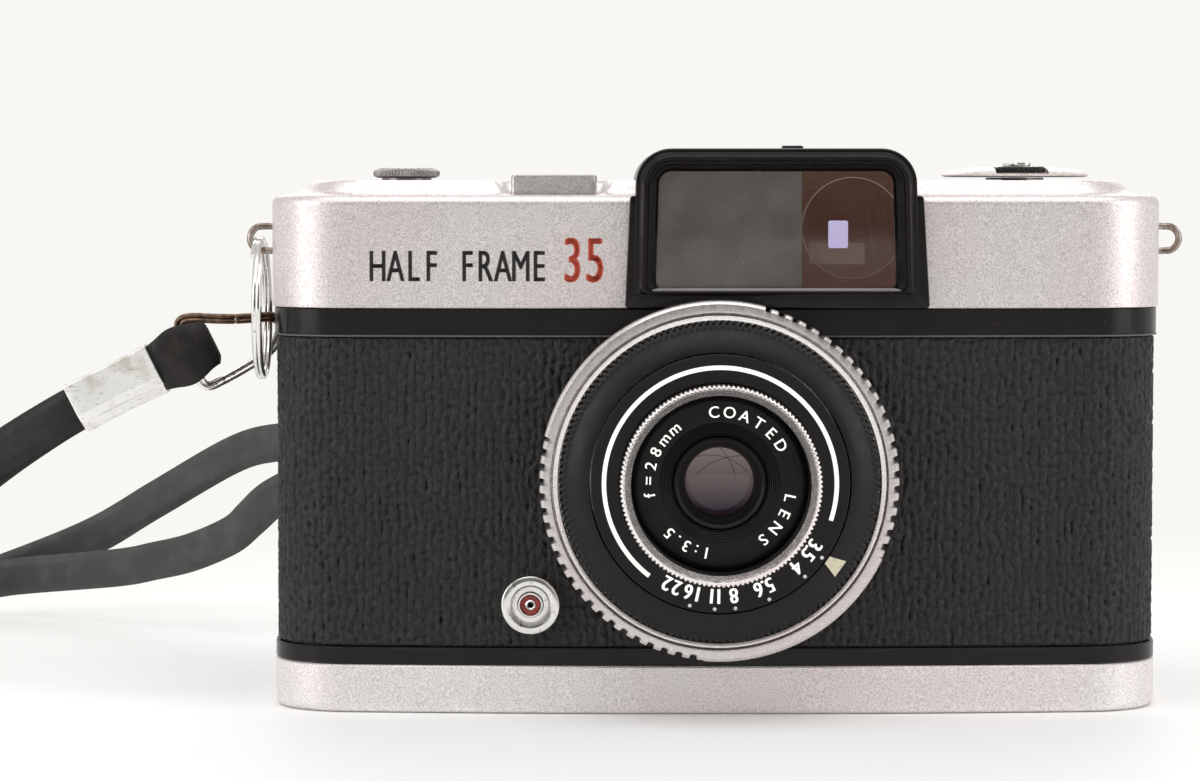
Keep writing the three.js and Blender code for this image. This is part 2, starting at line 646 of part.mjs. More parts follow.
// Turns an outline drawn for a pivot on +X by `angle` about the lens axis and gives it a depth.
function blade(outline, layer, angle) {
  const options = { depth: BLADE_THICKNESS, bevelEnabled: false, curveSegments: 4 };
  const flat = new THREE.ExtrudeGeometry(outline, options).rotateZ(angle);
  return solid(flat.rotateX(Math.PI / 2).translate(0, layer + BLADE_THICKNESS, LENS_Z));
}

function shutterBlades() {
  const crescent = new THREE.Shape();
  crescent.absarc(0, 0, 10.7, radians(-7), radians(96), false);
  crescent.absarc(0, 0, 5.0, radians(96), radians(-7), true);
  const apertureBlades = 5;
  for (let i = 0; i < apertureBlades; i++) {
    const angle = (2 * Math.PI * i) / apertureBlades;
    piece("aperture_blade_" + (i + 1), blade(crescent, -12.75 + 0.25 * i, angle), BLACK_METAL);
  }
  const lobe = { x: 1.68, y: 1.1, radius: 2.9 };
  const drop = new THREE.Shape();
  drop.absarc(BLADE_PIVOT, 0, 1.1, radians(-95), radians(85), false);
  drop.absarc(lobe.x, lobe.y, lobe.radius, radians(85), radians(265), false);
  const shutterLeaves = 3;
  for (let i = 0; i < shutterLeaves; i++) {
    const angle = (2 * Math.PI * i) / shutterLeaves;
    piece("shutter_blade_" + (i + 1), blade(drop, -11.3 + 0.3 * i, angle), STEEL);
  }
  const drive = [[10.2, -13.4], [11.6, -13.4], [11.6, -13.0], [10.2, -13.0]];
  piece("shutter_drive_ring", turnedY(drive), STEEL);
}

// ---------- strap and its fittings ----------

function strapLug(side) {
  const inner = HALF_LENGTH + COVER_PROUD + GAP;
  const reach = 58.1 - LUG_WIRE;
  const half = 2 - LUG_WIRE;
  const bend = reach - half;
  const bow = [-80, -60, -30, 0, 30, 60, 80].map((degrees) => [
    side * (bend + half * Math.cos(radians(degrees))), 0, LUG_Z + half * Math.sin(radians(degrees)),
  ]);
  const leg = (x, z) => [side * x, 0, z];
  const path = curve(
    leg(inner, LUG_Z - half), leg(inner + 0.4, LUG_Z - half), ...bow,
    leg(inner + 0.4, LUG_Z + half), leg(inner, LUG_Z + half),
  );
  return wire(path, LUG_WIRE, 16, 6);
}

// Two turns of wire side by side, threaded through the left lug.
function splitRing() {
  const { x, z, radius, wire: thickness } = SPLIT_RING;
  const steps = 48;
  const coil = Array.from({ length: steps + 1 }, (_, i) => {
    const angle = radians(-40) + (i / steps) * 4 * Math.PI * 0.985;
    const shift = (thickness + 0.03) * (2 * (i / steps) - 1);
    return [x + 1.05 * shift, radius * Math.sin(angle), z + radius * Math.cos(angle)];
  });
  return wire(curve(...coil), thickness, 48, 6);
}

// A rounded triangle of wire that hangs on the rear of the split ring and carries the strap.
function linkRing() {
  const depth = (x) => Math.max(STRAP_Y, 7.45 + 0.52 * (x + 56));
  const corners = [
    [-60, 47.2], [-57.6, 47.3], [-55.8, 47.4], [-54.85, 46.8], [-54.7, 45.8], [-55.1, 44.4],
    [-56.2, 42.9], [-58.5, 41.3], [-61.5, 39.6], [-63.2, 38.9], [-64.2, 39.5], [-64.7, 41.2],
    [-65.6, 43.4], [-66.6, 45.6], [-66.8, 46.8], [-65.6, 47.4], [-62, 47.25], [-60.2, 47.2],
  ];
  return wire(curve(...corners.map(([x, z]) => [x, depth(x), z])), 0.42, 44, 6);
}

// The strap's own directions where it leaves the link: along it to the crimp, and across its width.
const STRAP_AXIS = new THREE.Vector3().subVectors(CRIMP_CENTRE, LINK_SIDE).normalize();
const STRAP_UP = new THREE.Vector3(
  CRIMP_CENTRE.z - LINK_SIDE.z, 0, LINK_SIDE.x - CRIMP_CENTRE.x,
).normalize();

// A point at a distance `out` from the link towards the crimp, moved by `off` in depth.
function alongStrap(out, off) {
  const place = LINK_SIDE.clone().addScaledVector(STRAP_AXIS, out);
  return [place.x, place.y + off, place.z];
}

// The eye round the link, the doubled length behind the crimp and the loop for the wrist.
function strapBand() {
  const reach = CRIMP_CENTRE.distanceTo(LINK_SIDE);
  const eye = curve(
    alongStrap(reach, 0.5), alongStrap(reach - 4, 0.55), alongStrap(3.4, 1.2), alongStrap(1, 1.45),
    alongStrap(-1.0, 1.0), alongStrap(-1.6, 0), alongStrap(-1.0, -1.0), alongStrap(1, -1.45),
    alongStrap(3.4, -1.2), alongStrap(reach - 4, -0.55), alongStrap(reach, -0.5),
  );
  const doubled = curve(
    CRIMP_CENTRE.toArray(), alongStrap(reach + 6.4, 0.3), [-90, 7, 29.8], [-101, 15, 21.5],
    [-112, 30, 13], [-118, 48, 8], [-116, 66, 5.5], [-108, 80, 5], [-98, 87, 7.5],
  );
  const loop = curve(
    [-99, 87, 7.6], [-89.9, 86, 11.7], [-80.1, 82, 17.5], [-68, 75.5, 24.6], [-61.5, 70.5, 26.8],
    [-56.3, 66.8, 26.9], [-53.2, 63, 25.6], [-54.2, 59.6, 23.4], [-57.6, 58.6, 21.4], [-60.9, 59.5, 19.5],
    [-66.7, 61.8, 14.3], [-72.7, 65.5, 11.5], [-78.6, 69.5, 9.8], [-84.9, 74, 8.3], [-99, 86.3, 6.8],
  );
  return join(
    ribbon(eye, STRAP_WIDTH, STRAP_THICKNESS, 22, STRAP_UP),
    ribbon(doubled, STRAP_WIDTH, 2 * STRAP_THICKNESS, 20),
    ribbon(loop, STRAP_WIDTH, STRAP_THICKNESS, 32),
  );
}

function strapCrimp() {
  const length = 11.4;
  const sleeve = roundedRect(-3.4, 3.4, -2.3, 2.3, 0.9);
  sleeve.holes.push(roundedRect(-3.05, 3.05, -1.5, 1.5, 0.3));
  const options = { depth: length, bevelEnabled: false, curveSegments: 3 };
  const across = new THREE.Vector3().crossVectors(STRAP_AXIS, STRAP_UP);
  const crimp = new THREE.ExtrudeGeometry(sleeve, options)
    .translate(0, 0, -length / 2)
    .applyMatrix4(new THREE.Matrix4().makeBasis(STRAP_UP, across, STRAP_AXIS))
    .translate(...CRIMP_CENTRE.toArray());
  return solid(crimp);
}

// ---------- assembly ----------

piece("body_casting", bodyCasting(), BLACK_ENAMEL);
piece("front_leatherette", frontLeatherette(), LEATHERETTE);
syncSocket();
piece("back_cover", backCover(), BLACK_ENAMEL);
piece("back_leatherette", backLeatherette(), LEATHERETTE);
piece("base_plate", basePlate(), SATIN_SILVER);
piece("tripod_bush", tripodBush(), STEEL);
backKey();
piece("rewind_release_button", rewindReleaseButton(), STEEL);
piece("pressure_plate", pressurePlate(), STEEL);
piece("top_cover", topCover(), SATIN_SILVER);
piece("finder_housing", finderHousing(), BLACK_ENAMEL);
finderOptics();
transport();
release();
rewind();
lensRings();
lensUnit();
shutterBlades();
piece("strap_lug_left", strapLug(-1), STEEL);
piece("strap_lug_right", strapLug(1), STEEL);
piece("strap_split_ring", splitRing(), CHROME);
piece("strap_link_ring", linkRing(), CHROME);
piece("strap_band", strapBand(), STRAP_BLACK);
piece("strap_crimp", strapCrimp(), CHROME);

export default camera;
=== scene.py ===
import json
import math

import bmesh
import bpy
from mathutils import Matrix, Vector, noise


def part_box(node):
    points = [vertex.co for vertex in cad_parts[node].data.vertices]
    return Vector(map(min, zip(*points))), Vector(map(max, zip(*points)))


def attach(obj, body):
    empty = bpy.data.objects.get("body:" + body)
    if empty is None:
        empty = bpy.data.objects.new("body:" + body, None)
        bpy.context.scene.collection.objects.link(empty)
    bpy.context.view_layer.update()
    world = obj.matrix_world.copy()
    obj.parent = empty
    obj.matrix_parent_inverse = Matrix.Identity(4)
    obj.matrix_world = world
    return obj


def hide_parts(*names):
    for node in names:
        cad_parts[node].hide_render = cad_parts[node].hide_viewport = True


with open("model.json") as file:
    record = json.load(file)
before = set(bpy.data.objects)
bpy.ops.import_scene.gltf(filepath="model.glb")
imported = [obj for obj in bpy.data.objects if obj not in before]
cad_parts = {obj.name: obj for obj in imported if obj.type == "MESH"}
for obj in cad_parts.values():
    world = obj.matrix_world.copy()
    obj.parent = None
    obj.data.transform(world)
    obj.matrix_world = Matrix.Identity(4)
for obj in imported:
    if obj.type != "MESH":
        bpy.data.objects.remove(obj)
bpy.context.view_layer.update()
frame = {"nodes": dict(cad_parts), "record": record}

MM = 0.001


def extent(node):
    """The lowest and highest corner of a node, in millimetres."""
    low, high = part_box(node)
    return low / MM, high / MM


# ---------- sizes taken from the frame ----------

LEATHER_LOW, LEATHER_HIGH = extent("front_leatherette")
REAR_LOW, REAR_HIGH = extent("back_leatherette")
COVER_LOW, COVER_HIGH = extent("top_cover")
CASTING_HIGH = extent("body_casting")[1]
BASE_HIGH = extent("base_plate")[1]

HALF_LENGTH = LEATHER_HIGH.x
FRONT_Y = LEATHER_LOW.y
REAR_Y = REAR_HIGH.y
FRONT_BOW = 1.8
CORNER = 9.0
TURN = HALF_LENGTH - CORNER
ARC_HANDLE = 0.5523  # Bezier handle of a quarter circle of radius 1
SHEET = 0.8
COVER_PROUD = COVER_HIGH.x - HALF_LENGTH
BAND_PROUD = CASTING_HIGH.x - HALF_LENGTH

LEDGE_Z = 62.8
STEP_HEIGHT = COVER_HIGH.z - LEDGE_Z
SEAM_FRONT = 2.0  # plane where the front shell meets the back
MOUNT_OUTSIDE = 16.2  # opening of the covering round the lens mount
AXIS = (0.0, sum(c.z for c in extent("focus_ring")) / 2)  # lens axis: x, z


def middle(low, high, first="x", second="y"):
    """The centre between two corners, seen along the third axis."""
    return tuple((getattr(low, c) + getattr(high, c)) / 2 for c in (first, second))


SYNC_LOW, SYNC_HIGH = extent("sync_socket")
SYNC = middle(SYNC_LOW, SYNC_HIGH, "x", "z")


# ---------- meshes ----------

def combine(*parts):
    """Several (vertices, faces) pairs as one."""
    verts, faces = [], []
    for part_verts, part_faces in parts:
        base = len(verts)
        verts += part_verts
        faces += [tuple(base + i for i in face) for face in part_faces]
    return verts, faces


def loft(rings, closed=True, start_cap=False, end_cap=False):
    """A skin over rings that all have the same number of points."""
    count = len(rings[0])
    verts = [tuple(point) for ring in rings for point in ring]
    faces = []
    for r in range(len(rings) - 1):
        for i in range(count if closed else count - 1):
            j = (i + 1) % count
            faces.append((r * count + i, r * count + j, (r + 1) * count + j, (r + 1) * count + i))
    if start_cap:
        faces.append(tuple(range(count)))
    if end_cap:
        faces.append(tuple(range((len(rings) - 1) * count, len(rings) * count)))
    return verts, faces


def turned(profile, centre=AXIS, along="Y", steps=96, ripple=None):
    """A profile of [radius, place along the axis] turned round, with an optional ripple of the radius."""
    rings = []
    for radius, place in profile:
        ring = []
        for i in range(steps):
            angle = 2 * math.pi * i / steps
            reach = radius + (ripple(radius, place, math.degrees(angle)) if ripple else 0)
            a = centre[0] + reach * math.cos(angle)
            b = centre[1] + reach * math.sin(angle)
            ring.append((a, place, b) if along == "Y" else (a, b, place))
        rings.append(ring)
    return loft(rings)


def rounded_polygon(corners, radius, steps=8):
    """A convex polygon with rounded corners. `radius` is one number or one for each corner."""
    radii = radius if isinstance(radius, (list, tuple)) else [radius] * len(corners)
    points = []
    for k, corner in enumerate(corners):
        here = Vector(corner)
        before = (Vector(corners[k - 1]) - here).normalized()
        after = (Vector(corners[(k + 1) % len(corners)]) - here).normalized()
        half = before.angle(after) / 2
        centre = here + (before + after).normalized() * radii[k] / math.sin(half)
        reach = radii[k] / math.tan(half)
        start = here + before * reach - centre
        sweep = start.angle_signed(here + after * reach - centre)
        for i in range(steps + 1):
            turn = -sweep * i / steps
            spun = Vector((
                start.x * math.cos(turn) - start.y * math.sin(turn),
                start.x * math.sin(turn) + start.y * math.cos(turn),
            ))
            points.append(tuple(centre + spun))
    return points


def rectangle(x0, x1, y0, y1, radius, steps=6):
    return rounded_polygon([(x0, y0), (x1, y0), (x1, y1), (x0, y1)], radius, steps)


def prism(outline, z0, z1):
    return loft([[(x, y, z) for x, y in outline] for z in (z0, z1)], True, True, True)


def facing_prism(outline, y0, y1):
    return loft([[(x, y, z) for x, z in outline] for y in (y0, y1)], True, True, True)


def circle(radius, centre=(0, 0), steps=48):
    angles = [2 * math.pi * i / steps for i in range(steps)]
    return [(centre[0] + radius * math.cos(a), centre[1] + radius * math.sin(a)) for a in angles]


def spline(points, samples):
    """A Catmull-Rom curve through points, sampled evenly in length."""
    knots = [Vector(point) for point in points]
    fine = []
    for k in range(len(knots) - 1):
        a, b = knots[max(k - 1, 0)], knots[k]
        c, d = knots[k + 1], knots[min(k + 2, len(knots) - 1)]
        for i in range(24):
            t = i / 24
            fine.append(0.5 * (2 * b + (c - a) * t + (2 * a - 5 * b + 4 * c - d) * t ** 2
                               + (3 * b - a - 3 * c + d) * t ** 3))
    fine.append(knots[-1])
    return resample(fine, samples)


def resample(line, samples):
    """Points evenly spaced along a polyline."""
    line = [Vector(point) for point in line]
    lengths = [0.0]
    for a, b in zip(line, line[1:]):
        lengths.append(lengths[-1] + (b - a).length)
    made = []
    k = 0
    for i in range(samples):
        target = lengths[-1] * i / (samples - 1)
        while k < len(lengths) - 2 and lengths[k + 1] < target:
            k += 1
        span = lengths[k + 1] - lengths[k] or 1
        made.append(line[k].lerp(line[k + 1], (target - lengths[k]) / span))
    return made


def sweep(path, section, up):
    """A section of (across, upwards) points carried along a path, with flat ends."""
    rings = []
    last = len(path) - 1
    for i, centre in enumerate(path):
        along = path[min(i + 1, last)] - path[max(i - 1, 0)]
        side = along.cross(Vector(up)).normalized()
        tall = side.cross(along).normalized()
        rings.append([tuple(centre + side * a + tall * b) for a, b in section])
    return loft(rings, True, True, True)


def make_object(name, part, material=None):
    verts, faces = part
    bm = bmesh.new()
    made = [bm.verts.new(Vector(v) * MM) for v in verts]
    for face in faces:
        bm.faces.new([made[i] for i in face])
    bmesh.ops.remove_doubles(bm, verts=bm.verts, dist=2e-7)
    bmesh.ops.recalc_face_normals(bm, faces=bm.faces)
    mesh = bpy.data.meshes.new(name)
    bm.to_mesh(mesh)
    bm.free()
    piece = bpy.data.objects.new(name, mesh)
    if material:
        mesh.materials.append(material)
    bpy.context.scene.collection.objects.link(piece)
    return piece


def carve(piece, *cutters):
    """Cuts (vertices, faces) solids out of a piece for good."""
    tools = []
    for cutter in cutters:
        tool = make_object("cutter", cutter)
        change = piece.modifiers.new("cut", "BOOLEAN")
        change.operation = "DIFFERENCE"
        change.solver = "EXACT"
        change.object = tool
        tools.append(tool)
    bake(piece)
    for tool in tools:
        bpy.data.objects.remove(tool)


def bake(piece):
    """Applies all modifiers of a piece."""
    graph = bpy.context.evaluated_depsgraph_get()
    mesh = bpy.data.meshes.new_from_object(piece.evaluated_get(graph))
    piece.modifiers.clear()
    piece.data = mesh


def mark_sharp(mesh, degrees):
    """Smooth shading everywhere but over edges that bend more than this."""
    bm = bmesh.new()
    bm.from_mesh(mesh)
    for face in bm.faces:
        face.smooth = True
    for edge in bm.edges:
        edge.smooth = edge.calc_face_angle(0) < math.radians(degrees)
    bm.to_mesh(mesh)
    bm.free()


def piece(name, part, slot, body, *nodes, material=None, cutters=(), sharp=32, thicken=0):
    """A finished piece: built, cut, shaded, riding on its body and standing for CAD nodes."""
    made = make_object(name, part, material or FINISH[slot])
    if thicken:
        change = made.modifiers.new("thicken", "SOLIDIFY")
        change.thickness = thicken * MM
        change.offset = -1
        bake(made)
    if cutters:
        carve(made, *cutters)
    mark_sharp(made.data, sharp)
    made.modifiers.new("normals", "WEIGHTED_NORMAL").keep_sharp = True
    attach(made, body)
    if nodes:
        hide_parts(*nodes)
    return made


# ---------- materials ----------

class Finish:
    """A Principled material whose nodes are wired by short calls. Sizes are in millimetres."""

    def __init__(self, name, color, roughness, metallic=0.0, **inputs):
        self.material = bpy.data.materials.new(name)
        self.material.use_nodes = True
        self.nodes = self.material.node_tree.nodes
        self.links = self.material.node_tree.links
        self.shader = self.nodes["Principled BSDF"]
        scale = self.node("ShaderNodeVectorMath", operation="MULTIPLY")
        self.wire(self.node("ShaderNodeTexCoord").outputs["Object"], scale.inputs[0])
        scale.inputs[1].default_value = (1 / MM,) * 3
        self.place = scale.outputs[0]
        self.set("Base Color", color)
        self.set("Roughness", roughness)
        self.set("Metallic", metallic)
        for key, value in inputs.items():
            self.set(key.replace("_", " "), value)

    def node(self, kind, **settings):
        made = self.nodes.new(kind)
        for key, value in settings.items():
            setattr(made, key, value)
        return made

    def wire(self, source, target):
        if isinstance(source, bpy.types.NodeSocket):
            self.links.new(source, target)
        elif isinstance(source, tuple) and len(source) == 3 and target.type == "RGBA":
            target.default_value = (*source, 1)
        else:
            target.default_value = source

    def set(self, socket, value):
        self.wire(value, self.shader.inputs[socket])

    def stretched(self, stretch):
        made = self.node("ShaderNodeVectorMath", operation="MULTIPLY")
        self.wire(self.place, made.inputs[0])
        made.inputs[1].default_value = stretch
        return made.outputs[0]

    def noise(self, size, detail=2.0, stretch=(1, 1, 1)):
        made = self.node("ShaderNodeTexNoise")
        self.wire(self.stretched(stretch), made.inputs["Vector"])
        made.inputs["Scale"].default_value = 1 / size
        made.inputs["Detail"].default_value = detail
        return made.outputs[0]

    def cells(self, size, feature="F1", stretch=(1, 1, 1)):
        made = self.node("ShaderNodeTexVoronoi", feature=feature)
        self.wire(self.stretched(stretch), made.inputs["Vector"])
        made.inputs["Scale"].default_value = 1 / size
        return made.outputs["Distance"]

    def axis(self, index):
        made = self.node("ShaderNodeSeparateXYZ")
        self.wire(self.place, made.inputs[0])
        return made.outputs[index]

    def math(self, operation, a, b=0.0):
        made = self.node("ShaderNodeMath", operation=operation)
        self.wire(a, made.inputs[0])
        self.wire(b, made.inputs[1])
        return made.outputs[0]

    def remap(self, value, low, high, to_low=0.0, to_high=1.0):
        made = self.node("ShaderNodeMapRange")
        for socket, source in zip(made.inputs, (value, low, high, to_low, to_high)):
            self.wire(source, socket)
        return made.outputs[0]

    def blend(self, factor, a, b):
        made = self.node("ShaderNodeMix", data_type="RGBA")
        self.wire(factor, made.inputs[0])
        self.wire(a, made.inputs[6])
        self.wire(b, made.inputs[7])
        return made.outputs[2]

    def bump(self, height, depth, strength=1.0):
        made = self.node("ShaderNodeBump")
        made.inputs["Strength"].default_value = strength
        made.inputs["Distance"].default_value = depth * MM
        self.wire(height, made.inputs["Height"])
        normal = self.shader.inputs["Normal"]
        if normal.is_linked:
            self.wire(normal.links[0].from_socket, made.inputs["Normal"])
        self.wire(made.outputs[0], normal)


def satin_silver(name="satin_silver", tone=1.06, metallic=0.68, roughness=0.4, depth=0.36):
    """Bead-blasted, plated metal: a fine grain, a faint pink cast in places and tiny dark pits."""
    f = Finish(name, (0.7, 0.66, 0.65), roughness, metallic)
    shade = lambda *color: tuple(channel * tone for channel in color)
    grain = f.noise(0.2, 4)
    cast = f.remap(f.noise(26, 2), 0.38, 0.62)
    light = f.blend(cast, shade(0.86, 0.835, 0.82), shade(0.865, 0.795, 0.79))
    low = 1 - depth
    dark = f.blend(
        cast, shade(0.86 * low, 0.83 * low, 0.81 * low), shade(0.865 * low, 0.78 * low, 0.77 * low),
    )
    mottled = f.blend(f.remap(grain, 0.34, 0.62), dark, light)
    pits = f.remap(f.cells(1.6), 0.035, 0.07, 1.0, 0.0)
    rare = f.remap(f.noise(3.1, 1), 0.6, 0.64)
    f.set("Base Color", f.blend(f.math("MULTIPLY", pits, rare), mottled, (0.16, 0.15, 0.14)))
    f.set("Roughness", f.remap(f.noise(0.6, 4), 0.3, 0.7, roughness - 0.08, roughness + 0.08))
    f.bump(grain, 0.011)
    f.bump(f.noise(9, 2), 0.03, 0.4)
    return f.material


def black_enamel():
    f = Finish("black_enamel", (0.012, 0.0095, 0.009), 0.2, Specular_IOR_Level=0.25)
    f.set("Roughness", f.remap(f.noise(4, 5), 0.3, 0.7, 0.13, 0.3))
    dust = f.remap(f.cells(1.3), 0.03, 0.055, 1.0, 0.0)
    rare = f.remap(f.noise(2.3, 2), 0.6, 0.64)
    f.set(
        "Base Color",
        f.blend(f.math("MULTIPLY", dust, rare), (0.008, 0.006, 0.0058), (0.13, 0.11, 0.095)),
    )
    f.bump(f.noise(5, 2), 0.02, 0.5)
    return f.material


def black_leatherette():
    """Embossed black covering: round grains in slanting vertical rows, with painted shade darkening the
    valleys between the grains.
    """
    f = Finish("black_leatherette", (0.03, 0.028, 0.026), 0.5)
    grain = f.cells(0.42, "F1", (1.0, 1.0, 0.8))
    rows = f.noise(1.1, 2, (1.0, 1.0, 0.3))
    # Painted shade: the colour darkens in hollows (low pointiness) and between the grains.
    crest = f.remap(f.node("ShaderNodeNewGeometry").outputs["Pointiness"], 0.44, 0.56)
    shade = f.math("MULTIPLY", crest, f.remap(grain, 0.15, 0.6, 1.0, 0.6))
    f.set("Base Color", f.blend(shade, (0.003, 0.0028, 0.0026), (0.034, 0.031, 0.029)))
    f.set("Specular IOR Level", 0.35)
    f.set("Roughness", f.remap(rows, 0.35, 0.65, 0.42, 0.62))
    f.bump(f.remap(grain, 0.1, 0.55, 1.0, 0.0), 0.07)
    f.bump(rows, 0.1, 0.8)
    f.bump(f.noise(0.14, 2), 0.02)
    return f.material


def bright_chrome():
    f = Finish("bright_chrome", (0.82, 0.81, 0.79), 0.14, 1.0)
    spots = f.remap(f.noise(0.5, 5), 0.62, 0.7)
    f.set("Base Color", f.blend(spots, (0.82, 0.81, 0.79), (0.42, 0.38, 0.34)))
    f.set("Roughness", f.remap(f.noise(1.2, 5), 0.3, 0.7, 0.1, 0.3))
    f.bump(f.noise(0.7, 3), 0.008)
    return f.material


def black_anodised():
    f = Finish("black_anodised", (0.02, 0.019, 0.019), 0.42, Specular_IOR_Level=0.25)
    f.set(
        "Base Color",
        f.blend(f.remap(f.noise(0.2, 3), 0.3, 0.7), (0.006, 0.0055, 0.0055), (0.011, 0.0105, 0.01)),
    )
    f.set("Roughness", f.remap(f.noise(2.0, 4), 0.3, 0.7, 0.34, 0.5))
    f.bump(f.noise(0.1, 2), 0.004)
    return f.material


def plain_steel():
    f = Finish("plain_steel", (0.52, 0.5, 0.48), 0.36, 1.0)
    streak = f.noise(0.25, 3, (1, 1, 0.1))
    f.set("Base Color", f.blend(f.remap(streak, 0.3, 0.7), (0.42, 0.4, 0.38), (0.6, 0.585, 0.56)))
    f.set("Roughness", f.remap(streak, 0.3, 0.7, 0.28, 0.45))
    f.bump(streak, 0.005)
    return f.material


def gear_brass():
    f = Finish("gear_brass", (0.62, 0.44, 0.18), 0.34, 1.0)
    stain = f.remap(f.noise(1.4, 4), 0.4, 0.65)
    f.set("Base Color", f.blend(stain, (0.66, 0.47, 0.19), (0.36, 0.25, 0.12)))
    f.bump(f.noise(0.2, 2), 0.005)
    return f.material


def coated_glass():
    """Clear glass: mostly see-through, with a faint violet coating in its reflections."""
    f = Finish("coated_glass", (0.8, 0.78, 0.84), 0.03)
    clear = f.node("ShaderNodeBsdfTransparent")
    clear.inputs[0].default_value = (0.93, 0.92, 0.92, 1)
    gloss = f.node("ShaderNodeBsdfGlossy")
    gloss.inputs["Color"].default_value = (0.84, 0.82, 0.88, 1)
    f.wire(f.remap(f.noise(1.8, 6), 0.55, 0.8, 0.02, 0.06), gloss.inputs["Roughness"])
    fresnel = f.node("ShaderNodeFresnel")
    fresnel.inputs["IOR"].default_value = 1.28
    mix = f.node("ShaderNodeMixShader")
    f.wire(fresnel.outputs[0], mix.inputs[0])
    f.wire(clear.outputs[0], mix.inputs[1])
    f.wire(gloss.outputs[0], mix.inputs[2])
    f.wire(mix.outputs[0], f.nodes["Material Output"].inputs["Surface"])
    return f.material


def mask_grey():
    """Dull grey paint behind glass, with specks and flecks of dust. It also glows faintly: painted light.
    """
    f = Finish("mask_grey", (0.098, 0.088, 0.077), 0.7)
    tone = f.blend(f.remap(f.noise(7, 3), 0.35, 0.65), (0.125, 0.114, 0.1), (0.19, 0.173, 0.155))
    fine = f.blend(f.remap(f.noise(0.16, 3), 0.62, 0.75), tone, (0.3, 0.28, 0.25))
    specks = f.math(
        "MULTIPLY", f.remap(f.cells(1.1), 0.04, 0.08, 1.0, 0.0), f.remap(f.noise(2.2, 1), 0.6, 0.64),
    )
    shown = f.blend(specks, fine, (0.5, 0.47, 0.42))
    f.set("Base Color", shown)
    # Painted light: the mask glows faintly in its own colour.
    f.set("Emission Color", shown)
    f.set("Emission Strength", 0.3)
    f.bump(f.noise(0.2, 2), 0.01)
    return f.material


def red_insulator():
    f = Finish("red_insulator", (0.3, 0.035, 0.03), 0.4)
    f.set(
        "Base Color",
        f.blend(f.remap(f.noise(0.3, 4), 0.4, 0.7), (0.33, 0.04, 0.032), (0.12, 0.02, 0.018)),
    )
    f.bump(f.noise(0.2, 2), 0.01)
    return f.material


def strap_leather():
    """Smooth dyed leather with fine cross creases and paler rubbed places. Further back (higher y) it
    turns lighter: painted light on the far strands.
    """
    f = Finish("strap_leather", (0.03, 0.026, 0.024), 0.42, Specular_IOR_Level=0.3)
    rub = f.remap(f.noise(3.5, 4), 0.45, 0.75)
    dyed = f.blend(rub, (0.011, 0.0095, 0.0085), (0.028, 0.023, 0.021))
    # Painted light: a paler tone for the strands further back, laid in by depth on the next line; the rub
    # noise varies it.
    far_light_and_rub = f.blend(rub, (0.06, 0.057, 0.055), (0.09, 0.085, 0.082))
    f.set("Base Color", f.blend(f.remap(f.axis(1), 22, 60), dyed, far_light_and_rub))
    f.set("Roughness", f.remap(f.noise(0.8, 5), 0.3, 0.7, 0.4, 0.58))
    f.bump(f.cells(0.5, "DISTANCE_TO_EDGE", (0.6, 0.6, 1.4)), 0.03, 0.6)
    f.bump(f.noise(0.15, 3), 0.012)
    return f.material


def tarnished_wire():
    f = Finish("tarnished_wire", (0.36, 0.3, 0.26), 0.4, 1.0)
    brown = f.remap(f.noise(0.8, 5), 0.36, 0.6)
    f.set("Base Color", f.blend(brown, (0.5, 0.44, 0.41), (0.2, 0.145, 0.11)))
    f.set("Roughness", f.remap(f.noise(0.4, 4), 0.3, 0.7, 0.25, 0.55))
    f.bump(f.noise(0.25, 3), 0.02)
    return f.material


def paint(name, color, own_light=0.0):
    """Lettering paint, a little uneven. `own_light` keeps small figures readable in the rings' shade."""
    f = Finish(name, color, 0.45)
    f.set("Emission Color", (*color, 1))
    f.set("Emission Strength", own_light)
    tone = tuple(c * 0.72 for c in color)
    f.set("Base Color", f.blend(f.remap(f.noise(0.25, 4), 0.45, 0.75), color, tone))
    f.bump(f.noise(0.12, 2), 0.01)
    return f.material


def crimp_aluminium():
    """Soft pale aluminium with long scratches and dull stains."""
    f = Finish("crimp_aluminium", (0.86, 0.83, 0.81), 0.34, 0.7)
    stain = f.remap(f.noise(2.4, 5), 0.5, 0.72)
    scratch = f.remap(f.noise(0.2, 4, (0.25, 1, 1.2)), 0.62, 0.7)
    tone = f.blend(stain, (0.95, 0.94, 0.92), (0.72, 0.69, 0.63))
    f.set("Base Color", f.blend(scratch, tone, (0.45, 0.42, 0.38)))
    f.set("Roughness", f.remap(f.noise(0.9, 5), 0.3, 0.7, 0.28, 0.5))
    f.bump(f.noise(1.5, 4), 0.05, 0.6)
    return f.material


